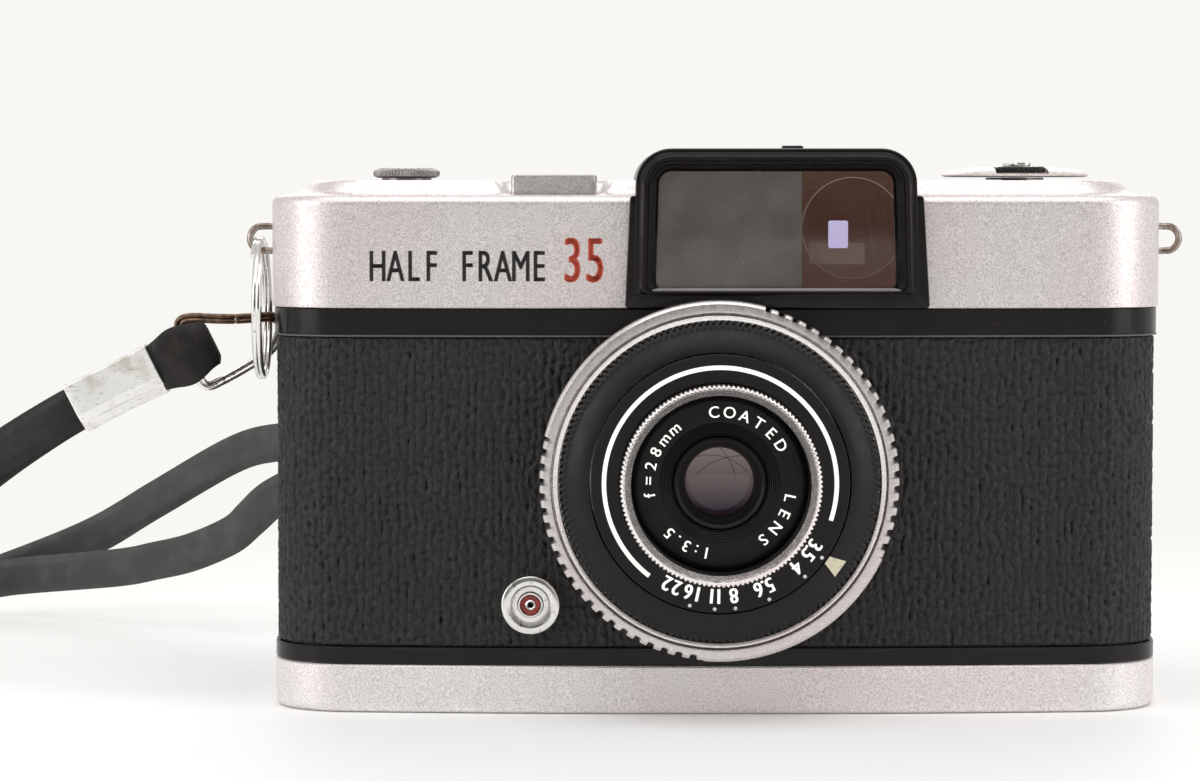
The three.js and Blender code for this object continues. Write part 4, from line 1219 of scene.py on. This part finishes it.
def rewind_controls():
    x, y = CARTRIDGE
    radius = (KNOB_HIGH.x - KNOB_LOW.x) / 2
    low, top = KNOB_LOW.z, KNOB_HIGH.z
    crown = [
        (0, low), (radius - 0.5, low), (radius - 0.1, low + 0.12), (radius, low + 0.3),
        (radius - 0.15, low + 0.42),
    ]
    crown += [(radius * math.cos(a) * 0.97, low + 0.45 + (top - low - 0.45) * math.sin(a)) for a in
              [math.pi / 2 * i / 14 for i in range(1, 14)]] + [(0, top)]
    half = 3.2
    slot = prism(rectangle(x - half, x + half, y - 14, y + 3.1, 0.3), low + 0.36, 75)
    piece(
        "rewind_knob_fine", turned(crown, CARTRIDGE, "Z", 128), "satin_silver", "rewind_knob",
        "rewind_knob", cutters=(slot,),
    )
    washer_low, washer_high = extent("rewind_washer")
    ring = [
        (1.9, washer_low.z), (3.55, washer_low.z), (3.6, washer_low.z + 0.06),
        (3.6, washer_high.z - 0.06), (3.5, washer_high.z), (1.9, washer_high.z), (1.9, washer_low.z),
    ]
    piece(
        "rewind_washer_fine", turned(ring, CARTRIDGE, "Z", 64), "plain_steel", "rewind_sleeve",
        "rewind_washer",
    )

    crank_low, crank_high = extent("rewind_crank")
    grip_low, grip_high = extent("crank_grip")
    grip_y = (grip_low.y + grip_high.y) / 2
    pin_y, pin_z = crank_high.y - 0.42, crank_low.z + 0.42
    plate_low, plate_high = crank_high.z - 0.4, crank_high.z
    outline = rounded_polygon(
        [(x - 1.25, grip_y - 1.6), (x + 1.25, grip_y - 1.6), (x + 1.4, pin_y), (x - 1.4, pin_y)],
        [1.2, 1.2, 0.3, 0.3], 8,
    )
    shrink = lambda inset: [(x + (px - x) * (1 - inset / 1.4), py) for px, py in outline]
    plate = loft(
        [
            [(px, py, z) for px, py in shrink(inset)]
            for inset, z in (
                (0.1, plate_low), (0, plate_low + 0.1), (0, plate_high - 0.12), (0.12, plate_high),
            )
        ],
        True, True, True,
    )
    pin = sweep(
        [Vector((crank_low.x + t * (crank_high.x - crank_low.x) / 8, pin_y, pin_z)) for t in range(9)],
        circle(0.42, steps=20), (0, 0, 1),
    )
    piece("rewind_crank_fine", combine(plate, pin), "bright_chrome", "rewind_crank", "rewind_crank")
    half = (grip_high.x - grip_low.x) / 2
    button = [
        (0, grip_low.z), (half - 0.15, grip_low.z), (half, grip_low.z + 0.15),
        (half, grip_high.z - 0.3), (half - 0.12, grip_high.z - 0.08), (half - 0.4, grip_high.z),
        (0, grip_high.z),
    ]
    ribs = lambda r, z, a: 0.06 * math.cos(math.radians(a) * 36) if r > half - 0.1 else 0
    piece(
        "crank_grip_fine", turned(button, (x, grip_y), "Z", 288, ribs), "black_anodised", "crank_grip",
        "crank_grip",
    )


# ---------- lens ----------

KNURLED = ((-25.4, 75.1), (165.4, 264.9))  # arcs of the focusing ring, in degrees from +x


def is_knurled(angle):
    return any(low <= angle + turn <= high for low, high in KNURLED for turn in (-360, 0))


def lens_rings():
    ring_low, ring_high = extent("focus_ring")
    outside = ring_high.x
    front, rear = ring_low.y, ring_high.y
    pitch = 360 / 75

    def grip(radius, place, angle):
        if radius < outside - 0.6 or not is_knurled(angle):
            return 0
        share = abs((angle / pitch) % 1 - 0.5) * 2
        tooth = smooth((share - 0.34) / 0.2)
        return -0.1 - 0.5 * (1 - tooth) * (1 if radius > outside - 0.2 else 0.6)

    body = [
        (20.1, rear - 0.5), (20.1, front + 0.12), (20.22, front), (20.95, front), (21.12, front + 0.03),
        (outside - 0.08, front + 0.3), (outside, front + 0.42), (outside, rear - 0.25),
        (outside - 0.2, rear), (14.6, rear), (14.6, rear - 0.5), (20.1, rear - 0.5),
    ]
    piece(
        "focus_ring_fine", turned(body, steps=1200, ripple=grip), "satin_silver", "focus_ring",
        "focus_ring", material=RING_SILVER, sharp=28,
    )

    rim_low, rim_high = extent("index_ring")
    edge = rim_high.x
    front, rear = rim_low.y, rim_high.y
    index = [
        (13.1, rear), (13.1, front), (15.3, front), (15.3, rear - 0.3), (19.2, rear - 0.3),
        (19.2, front + 0.78), (19.25, front + 0.69), (19.33, front + 0.66), (edge - 0.08, front + 0.66),
        (edge, front + 0.76), (edge, rear), (13.1, rear),
    ]
    piece(
        "index_ring_fine", turned(index, steps=240), "bright_chrome", "lens_unit", "index_ring",
        material=RIM_CHROME,
    )

    speed_low, speed_high = extent("speed_ring")
    front, rear, outer = speed_low.y, speed_high.y, speed_high.x

    def fine_knurl(radius, place, angle):
        if radius < 18.35:
            return 0
        return -0.34 * (1 - smooth(abs((angle * 150 / 360) % 1 - 0.5) * 2.4))

    speed = [
        (15.45, rear), (15.45, front + 0.1), (15.52, front), (15.7, front + 0.02), (16.3, front + 0.22),
        (17.0, front + 0.55), (17.6, front + 0.9), (18.05, front + 1.22), (18.25, front + 1.3),
        (18.4, front + 1.32), (18.85, front + 1.5), (19.05, front + 1.75), (outer, front + 2.1),
        (outer, rear), (15.45, rear),
    ]
    piece(
        "speed_ring_fine", turned(speed, steps=1200, ripple=fine_knurl), "black_anodised", "speed_ring",
        "speed_ring", sharp=40,
    )
    rows = (
        (15.55, -0.03, 1.9), (15.75, -0.01, 2.05), (16.3, 0.2, 2.55), (17.0, 0.53, 3.2),
        (17.6, 0.88, 3.7),
    )
    mark = []
    for reach, depth, spread in rows:
        corners = []
        for lift, side in ((0.1, -1), (-0.04, -1), (-0.04, 1), (0.1, 1)):
            a = math.radians(-35.5 + side * spread)
            corners.append(
                (AXIS[0] + reach * math.cos(a), front + depth + lift, AXIS[1] + reach * math.sin(a))
            )
        mark.append(corners)
    piece(
        "speed_index_mark", loft(mark, True, True, True), "black_enamel", "speed_ring",
        material=CREAM_PAINT,
    )

    scale_low, scale_high = extent("aperture_scale_ring")
    front, rear, outer = scale_low.y, scale_high.y, scale_high.x
    scale = [
        (12.03, rear), (12.03, front + 0.05), (12.08, front), (outer - 0.08, front),
        (outer, front + 0.08), (outer, rear), (12.03, rear),
    ]
    piece(
        "aperture_scale_fine", turned(scale, steps=192), "black_anodised", "aperture_ring",
        "aperture_scale_ring",
    )
    arc = []
    steps = 160
    line = ((13.47, front + 0.02), (13.47, front - 0.03), (14.0, front - 0.03), (14.0, front + 0.02))
    for i in range(steps + 1):
        a = math.radians(-18.4 + 250.8 * i / steps)
        arc.append([(AXIS[0] + r * math.cos(a), y, AXIS[1] + r * math.sin(a)) for r, y in line])
    piece(
        "aperture_arc", loft(arc, True, True, True), "black_enamel", "aperture_ring",
        material=RING_PAINT,
    )
    stops = (
        ("3.5", -36.0, 3.1), ("4", -47.6, 0), ("5.6", -67.0, 3.1), ("8", -83.0, 0), ("11", -92.5, 3.6),
        ("16", -104.0, 5.0), ("22", -115.5, 5.4),
    )
    for words, middle, pitch_angle in stops:
        begin = middle + pitch_angle * (len(words) - 1) / 2
        lettering(
            "stop_" + words.replace(".", "_"), words, 1.85, RING_PAINT, "aperture_ring",
            round_place(13.4, front - 0.01, begin, pitch_angle), squeeze=0.82, raised=0.1, weight=0.04,
        )
    dots = [prism_dot(0.22, 14.85, a, front) for a in (-36, -47.6, -67, -83, -92.5, -104)]
    piece("stop_dots", combine(*dots), "black_enamel", "aperture_ring", material=WHITE_PAINT)

    thread_low, thread_high = extent("filter_ring")
    front, rear, outer = thread_low.y, thread_high.y, thread_high.x

    def serration(radius, place, angle):
        if radius <= outer - 0.15:
            return 0
        return -0.22 * (1 - smooth(abs((angle * 130 / 360) % 1 - 0.5) * 2.2))

    lip = [
        (11.05, rear), (11.05, front + 1.2), (10.62, front + 1.15), (10.6, front + 1.0),
        (11.2, front + 0.16), (11.34, front), (11.5, front), (outer - 0.12, front + 0.1),
        (outer, front + 0.3), (outer, front + 1.9), (outer - 0.25, front + 2.1), (outer - 0.25, rear),
        (11.05, rear),
    ]
    piece(
        "filter_ring_fine", turned(lip, steps=1040, ripple=serration), "bright_chrome", "aperture_ring",
        "filter_ring", material=RIM_CHROME, sharp=40,
    )
    bore = [(11.02, front + 1.25)]
    bore += [(10.6 - 0.1 * (i % 2), front + 1.3 + 0.2 * i) for i in range(15)]
    bore += [(10.5, front + 4.3), (11.02, front + 4.3), (11.02, front + 1.25)]
    piece("filter_thread", turned(bore, steps=144), "black_anodised", "aperture_ring", sharp=20)


def prism_dot(radius, reach, angle, front):
    a = math.radians(angle)
    return turned([(0, front - 0.03), (radius, front - 0.03), (radius, front + 0.03), (0, front + 0.03)],
                  (AXIS[0] + reach * math.cos(a), AXIS[1] + reach * math.sin(a)), "Y", 16)


def lens_front():
    name_low, name_high = extent("name_ring")
    front, outer = name_low.y, name_high.x
    rows = [(outer, name_high.y), (outer, front + 1.0), (9.9, front + 0.12), (9.76, front), (7.2, front)]
    for i in range(6):
        r = 7.2 - 0.24 * i
        rows += [
            (r - 0.04, front + 0.03 + 0.06 * i), (r - 0.1, front + 0.11 + 0.06 * i),
            (r - 0.2, front + 0.04 + 0.06 * i),
        ]
    rows += [(5.6, front + 0.55), (5.6, name_high.y), (outer, name_high.y)]
    piece("name_ring_fine", turned(rows, steps=192), "black_anodised", "lens_unit", "name_ring", sharp=25)
    for name, words, start, pitch in (
        ("ring_text_upper", "COATED", 95, 12.6), ("ring_text_right", "LENS", -12, 13.5),
        ("ring_text_stop", "1:3.5", -101, 8.6), ("ring_text_focal", "f=28mm", 190, 12.0),
    ):
        lettering(
            name, words, 1.4, RING_PAINT, "lens_unit", round_place(8.5, front - 0.02, start, pitch),
            raised=0.05,
        )

    cone_low, cone_high = extent("front_retaining_ring")
    outer = cone_high.x
    front, rear = cone_low.y, cone_high.y
    funnel = [
        (outer, front + 0.3), (outer - 0.1, front + 0.05), (outer - 0.3, front),
        (outer - 0.5, front + 0.15), (4.85, front + 0.75), (4.75, front + 0.95), (4.35, front + 1.5),
        (4.05, rear - 0.3), (4.05, rear), (4.9, rear), (4.9, rear - 1.2), (outer, rear - 1.3),
        (outer, front + 0.3),
    ]
    piece(
        "retaining_ring_fine", turned(funnel, steps=128), "black_anodised", "lens_unit",
        "front_retaining_ring", sharp=25,
    )

    lens_low, lens_high = extent("front_lens")
    radius = lens_high.x
    bulge = [
        (
            radius * math.sin(1.1 * i / 12) / math.sin(1.1),
            lens_low.y + 0.7 * (1 - math.cos(1.1 * i / 12)) / (1 - math.cos(1.1)),
        )
        for i in range(13)
    ]
    bulge += [(radius, lens_high.y - 0.4), (0, lens_high.y - 0.3)]
    piece(
        "front_lens_fine", turned(bulge, steps=96), "coated_glass", "lens_unit", "front_lens",
        material=LENS_VIEW_GLOW,
    )


def sync_socket():
    low, high = SYNC_LOW.y, SYNC_HIGH.y
    radius = (SYNC_HIGH.x - SYNC_LOW.x) / 2
    collar = [
        (1.6, high), (radius, high), (radius, low + 0.5), (radius - 0.12, low + 0.16),
        (radius - 0.4, low), (2.6, low), (2.42, low + 0.08), (2.3, low + 0.3), (2.1, low + 0.85),
        (1.6, low + 0.85), (1.6, high),
    ]
    tube = [
        (1.25, high), (1.25, low + 0.25), (1.3, low + 0.15), (1.45, low + 0.15), (1.5, low + 0.25),
        (1.5, high), (1.25, high),
    ]
    piece(
        "sync_socket_fine", combine(turned(collar, SYNC, steps=96), turned(tube, SYNC, steps=64)),
        "bright_chrome", "camera_body", "sync_socket",
    )
    plug = [
        (0.62, high), (1.23, high), (1.23, low + 0.5), (1.15, low + 0.4), (0.75, low + 0.4),
        (0.62, low + 0.5), (0.62, high),
    ]
    piece(
        "sync_insulator_fine", turned(plug, SYNC, steps=64), "red_insulator", "camera_body",
        "sync_insulator",
    )
    contact = [
        (0.36, high - 0.4), (0.6, high - 0.4), (0.6, low + 0.42), (0.48, low + 0.34),
        (0.36, low + 0.45), (0.36, high - 0.4),
    ]
    piece("sync_contact", turned(contact, SYNC, steps=48), "bright_chrome", "camera_body")


# ---------- strap ----------

LUG_LOW, LUG_HIGH = extent("strap_lug_right")
LUG_WIRE = (LUG_HIGH.y - LUG_LOW.y) / 2
LUG_Z = (LUG_LOW.z + LUG_HIGH.z) / 2
STRAP_WIDTH = 5.8
STRAP_THICKNESS = 0.95
LINK_SIDE = Vector((-65.5, 2.8, 43.2))
CRIMP_CENTRE = Vector([sum(pair) / 2 for pair in zip(*extent("strap_crimp"))])
CRIMP_AXIS = (CRIMP_CENTRE - LINK_SIDE).normalized()
CRIMP_UP = Vector((-CRIMP_AXIS.z, 0, CRIMP_AXIS.x)).normalized()
if CRIMP_UP.z < 0:
    CRIMP_UP = -CRIMP_UP
LOOP_POINTS = (
    (-99, 87, 7.6), (-89.9, 86, 11.7), (-80.1, 82, 17.5), (-68, 75.5, 24.6), (-61.5, 70.5, 26.8),
    (-56.3, 66.8, 26.9), (-53.2, 63, 25.6), (-54.2, 59.6, 23.4), (-57.6, 58.6, 21.4),
    (-60.9, 59.5, 19.5), (-63.8, 60.3, 16.8), (-66.7, 61.8, 14.3), (-72.7, 65.5, 11.5),
    (-78.6, 69.5, 9.8), (-84.9, 74, 8.3), (-99, 86.3, 6.8),
)


def lugs():
    half = (LUG_HIGH.z - LUG_LOW.z) / 2 - LUG_WIRE
    bend = LUG_HIGH.x - LUG_WIRE - half
    for side, name in ((-1, "left"), (1, "right")):
        start = LUG_LOW.x - 0.02
        path = [(side * start, 0, LUG_Z - half), (side * (start + 0.5), 0, LUG_Z - half)]
        path += [
            (
                side * (bend + half * math.cos(math.radians(a))), 0,
                LUG_Z + half * math.sin(math.radians(a)),
            )
            for a in range(-75, 76, 15)
        ]
        path += [(side * (start + 0.5), 0, LUG_Z + half), (side * start, 0, LUG_Z + half)]
        piece("strap_lug_wire_" + name, sweep(spline(path, 60), circle(LUG_WIRE, steps=20), (0, 1, 0)),
              "tarnished_wire", "camera_body", "strap_lug_" + name)


def split_ring():
    """Two turns of bright wire that lie close at the top and spread at the bottom."""
    low, high = extent("strap_split_ring")
    radius = (high.y - low.y) / 2 - 0.4
    centre = Vector(((low.x + high.x) / 2, 0, (low.z + high.z) / 2))
    wire = 0.4
    steps = 260
    path = []
    for i in range(steps + 1):
        share = i / steps
        angle = math.radians(-40) + share * 4 * math.pi * 0.985
        shift = 1.05 * (wire + 0.03) * (2 * share - 1)
        path.append(centre + Vector((shift, radius * math.sin(angle), radius * math.cos(angle))))
    piece(
        "split_ring_fine", sweep(path, circle(wire, steps=20), (1, 0, 0)), "bright_chrome", "strap_ring",
        "strap_split_ring",
    )


def link_metal():
    """Wire that is tarnished brown along its upper leg and bright below."""
    f = Finish("link_metal", (0.6, 0.57, 0.53), 0.25, 1.0)
    height = f.remap(f.axis(2), 44.5, 46.6)
    brown = f.blend(f.remap(f.noise(0.7, 5), 0.35, 0.65), (0.3, 0.2, 0.14), (0.12, 0.075, 0.05))
    bright = f.blend(f.remap(f.noise(1.2, 5), 0.55, 0.72), (0.82, 0.8, 0.77), (0.35, 0.3, 0.26))
    f.set("Base Color", f.blend(height, bright, brown))
    f.set("Roughness", f.remap(height, 0, 1, 0.16, 0.42))
    f.bump(f.noise(0.3, 3), 0.02)
    return f.material


def link_ring():
    """The rounded triangle of wire between the split ring and the strap."""
    low = extent("strap_link_ring")[0]
    depth = lambda x: max(low.y + 0.47, 7.45 + 0.52 * (x + 56))
    corners = [
        (-60, 47.2), (-57.6, 47.3), (-55.8, 47.4), (-54.85, 46.8), (-54.7, 45.8), (-55.1, 44.4),
        (-56.2, 42.9), (-58.5, 41.3), (-61.5, 39.6), (-63.2, 38.9), (-64.2, 39.5), (-64.7, 41.2),
        (-65.6, 43.4), (-66.6, 45.6), (-66.8, 46.8), (-65.6, 47.4), (-62, 47.25), (-60.2, 47.2),
    ]
    path = spline([(x, depth(x), z) for x, z in corners], 160)
    strands = [sweep(path, circle(0.33, (aside, 0), 18), (0, 1, 0)) for aside in (-0.31, 0.31)]
    piece(
        "link_ring_fine", combine(*strands), "tarnished_wire", "strap_link", "strap_link_ring",
        material=link_metal(),
    )


def strap_section(width, thickness, crown=0.12):
    """A flat strap's section: soft edges and a slightly crowned face."""
    half, thick = width / 2, thickness / 2
    points = []
    for side in (1, -1):
        for i in range(9):
            t = side * (1 - 2 * i / 8)
            edge = (1 - abs(t) ** 8) ** 0.5
            points.append((side * (thick * edge + crown * (1 - t * t) * 0.4), t * half))
    return points


def strap():
    out = (CRIMP_CENTRE - LINK_SIDE).length
    local = lambda along, off: LINK_SIDE + CRIMP_AXIS * along + Vector((0, off, 0))
    eye_path = spline(
        [
            local(out - 3, 0.5), local(out - 5.2, 0.65), local(3.4, 1.25), local(0.4, 1.6),
            local(-1.9, 1.15), local(-2.8, 0), local(-1.9, -1.15), local(0.4, -1.6), local(3.4, -1.45),
            local(out - 5.2, -0.75), local(out - 3, -0.5),
        ],
        140,
    )
    verts, faces = sweep(eye_path, strap_section(STRAP_WIDTH, STRAP_THICKNESS), CRIMP_UP)
    crinkled = []
    for v in verts:
        p = Vector(v)
        along = (p - LINK_SIDE).dot(CRIMP_AXIS)
        rise = (p - LINK_SIDE).dot(CRIMP_UP)
        front = p.y < LINK_SIDE.y
        bulge = math.exp(-((along - 1.0) / 2.6) ** 2)
        if rise > 0:
            lift = 0.3 * bulge
        elif front:
            lift = -0.34 * bulge
        else:
            lift = 0.04 * bulge
        crease = noise.noise(Vector((p.x / 3.0, p.y / 2.0, p.z / 0.62)))
        fold = noise.noise(Vector((p.x / 1.2, p.y / 1.2, p.z / 1.2 + 7)))
        ruffle = Vector((0.03 * fold, 0.1 * crease + 0.05 * fold, 0.04 * crease))
        crinkled.append(tuple(p + (CRIMP_UP * (abs(rise) * lift) + ruffle)))
    piece("strap_eye", (crinkled, faces), "strap_leather", "strap", "strap_band", sharp=60)

    doubled = spline([
        CRIMP_CENTRE, local(out + 6.4, 0.3), (-90, 7, 29.8), (-101, 15, 21.5), (-112, 30, 13),
        (-118, 48, 8), (-116, 66, 5.5), (-108, 80, 5), (-98, 87, 7.5),
    ], 180)
    layers = []
    for offset, drop in ((-0.5, 0.35), (0.5, -0.4)):
        shifted = []
        for i, p in enumerate(doubled):
            along = doubled[min(i + 1, len(doubled) - 1)] - doubled[max(i - 1, 0)]
            side = along.cross(Vector((0, 0, 1))).normalized()
            tall = side.cross(along).normalized()
            shifted.append(p + side * offset + tall * drop * smooth(i / 40))
        layers.append(shifted[:-6:9])
    rear, front = layers
    path = spline(rear + list(LOOP_POINTS[1:-1]) + front[::-1], 700)
    band_section = strap_section(STRAP_WIDTH - 0.3, STRAP_THICKNESS)
    piece("strap_loop", sweep(path, band_section, (0, 0, 1)), "strap_leather", "strap", sharp=60)
    strap_crimp()


def strap_crimp():
    """A folded aluminium sleeve with a bright rolled lip at each end."""
    length = 11.4
    across = Vector((0, 1, 0))
    profile = [
        (-length / 2, 0.0), (-length / 2, 0.3), (-length / 2 + 0.2, 0.33), (-length / 2 + 0.7, 0.26),
        (-length / 4, 0.22), (0, 0.18), (length / 4, 0.22), (length / 2 - 0.9, 0.26),
        (length / 2 - 0.3, 0.3), (length / 2, 0.22), (length / 2, 0.0),
    ]
    rings = []
    for place, grow in profile:
        half_up, half_deep = 3.0 + grow, 1.85 + grow
        corners = [(-half_up, 1.5 - half_deep), (2.2 - half_up, -half_deep), (half_up, -half_deep),
                   (half_up, half_deep), (-half_up, half_deep)]
        outline = rounded_polygon(corners, [0.4, 0.3, 0.45, 0.9, 0.9], 6)
        ring = []
        for up, deep in outline:
            dent = 0.1 * noise.noise(Vector((place / 2.5, up / 2.0, deep)))
            at = CRIMP_CENTRE + CRIMP_AXIS * place + CRIMP_UP * (up + dent) + across * (deep + dent)
            ring.append(tuple(at))
        rings.append(ring)
    inner = []
    for place in (length / 2, -length / 2):
        corners = [(-2.95, -0.85), (-2.2, -1.4), (2.95, -1.4), (2.95, 1.4), (-2.95, 1.4)]
        outline = rounded_polygon(corners, [0.2, 0.2, 0.3, 0.3, 0.3], 6)
        at = CRIMP_CENTRE + CRIMP_AXIS * place
        inner.append([tuple(at + CRIMP_UP * up + across * deep) for up, deep in outline])
    piece("strap_crimp_fine", loft(rings + inner + [rings[0]]), "bright_chrome", "strap", "strap_crimp",
          material=ALUMINIUM, sharp=30)


# ---------- carried-over nodes ----------

def finish_frame_nodes():
    """Inner parts keep their frame shapes: each gets its slot's finish and smooth round walls."""
    slots = {row["node"]: row["material_slot"] for row in frame["record"]["subparts"]}
    for name, node in frame["nodes"].items():
        if node.hide_render:
            continue
        node.data.materials.clear()
        node.data.materials.append(FINISH[slots[name]])
        node.modifiers.new("weld", "WELD").merge_threshold = 1e-6
        split = node.modifiers.new("split", "EDGE_SPLIT")
        split.split_angle = math.radians(32)
        for polygon in node.data.polygons:
            polygon.use_smooth = True


# ---------- stage ----------

BACKDROP = (0.94, 0.93, 0.9)


def floor():
    size = 4000
    plane = make_object(
        "floor",
        ([(-size, -size, 0), (size, -size, 0), (size, size, 0), (-size, size, 0)], [(0, 1, 2, 3)]),
    )
    f = Finish("floor_white", (0.9, 0.9, 0.895), 0.6)
    radius = f.node("ShaderNodeVectorMath", operation="LENGTH")
    f.wire(f.place, radius.inputs[0])
    f.set("Base Color", f.blend(f.noise(300, 2), (0.93, 0.93, 0.925), (0.94, 0.94, 0.935)))
    f.set("Roughness", 0.55)
    f.set("Specular IOR Level", 0.25)
    far = f.node("ShaderNodeEmission")
    far.inputs["Color"].default_value = (*BACKDROP, 1)
    mix = f.node("ShaderNodeMixShader")
    f.wire(f.remap(radius.outputs["Value"], 60, 230), mix.inputs[0])
    f.wire(f.shader.outputs[0], mix.inputs[1])
    f.wire(far.outputs[0], mix.inputs[2])
    f.wire(mix.outputs[0], f.nodes["Material Output"].inputs["Surface"])
    plane.data.materials.append(f.material)


def area_light(name, place, target, size, power, color=(1, 1, 1)):
    light = bpy.data.lights.new(name, "AREA")
    light.shape = "RECTANGLE"
    light.size, light.size_y = size
    light.energy = power
    light.color = color
    made = bpy.data.objects.new(name, light)
    bpy.context.scene.collection.objects.link(made)
    made.location = Vector(place)
    made.rotation_mode = "QUATERNION"
    made.rotation_quaternion = (Vector(target) - Vector(place)).to_track_quat("-Z", "Y")
    made.visible_camera = False


def studio():
    world = bpy.data.worlds.new("studio")
    bpy.context.scene.world = world
    world.use_nodes = True
    nodes, links = world.node_tree.nodes, world.node_tree.links
    background = nodes["Background"]
    seen = nodes.new("ShaderNodeBackground")
    seen.inputs["Color"].default_value = (*BACKDROP, 1)
    path = nodes.new("ShaderNodeLightPath")
    mix = nodes.new("ShaderNodeMixShader")
    links.new(path.outputs["Is Camera Ray"], mix.inputs[0])
    links.new(background.outputs[0], mix.inputs[1])
    links.new(seen.outputs[0], mix.inputs[2])
    links.new(mix.outputs[0], nodes["World Output"].inputs["Surface"])
    coords = nodes.new("ShaderNodeTexCoord")
    split = nodes.new("ShaderNodeSeparateXYZ")
    links.new(coords.outputs["Generated"], split.inputs[0])
    front = nodes.new("ShaderNodeMapRange")
    links.new(split.outputs["Y"], front.inputs[0])
    for socket, value in zip(front.inputs[1:5], (-1.0, -0.1, 0.1, 0.66)):
        socket.default_value = value
    links.new(front.outputs[0], background.inputs["Strength"])
    background.inputs["Color"].default_value = (1, 0.985, 0.965, 1)
    area_light("key_above", (0.0, -0.35, 0.9), (0, 0, 0.03), (1.1, 0.8), 5)
    area_light("left_side", (-0.9, -0.45, 0.35), (0, 0, 0.03), (0.5, 0.7), 3.2)
    area_light("right_side", (0.9, -0.45, 0.35), (0, 0, 0.03), (0.5, 0.7), 3.2, (1, 0.96, 0.95))
    area_light("behind", (0.0, 0.9, 0.6), (0, 0, 0.03), (1.0, 0.5), 2.4)


def photo_camera():
    data = bpy.data.cameras.new("camera")
    data.lens = 106
    data.sensor_width = 36
    data.clip_start = 0.01
    made = bpy.data.objects.new("camera", data)
    bpy.context.scene.collection.objects.link(made)
    made.location = (-0.0142, -0.439, 0.0638)
    made.rotation_euler = (math.radians(86.7), 0, 0)
    bpy.context.scene.camera = made
    bpy.context.scene.view_settings.view_transform = "Standard"


coverings()
bands()
base_plate()
top_cover()
cover_lettering()
finder_housing()
finder_sill()
finder_optics()
controls()
rewind_controls()
lens_rings()
lens_front()
sync_socket()
lugs()
split_ring()
link_ring()
strap()
finish_frame_nodes()
floor()
studio()
photo_camera()
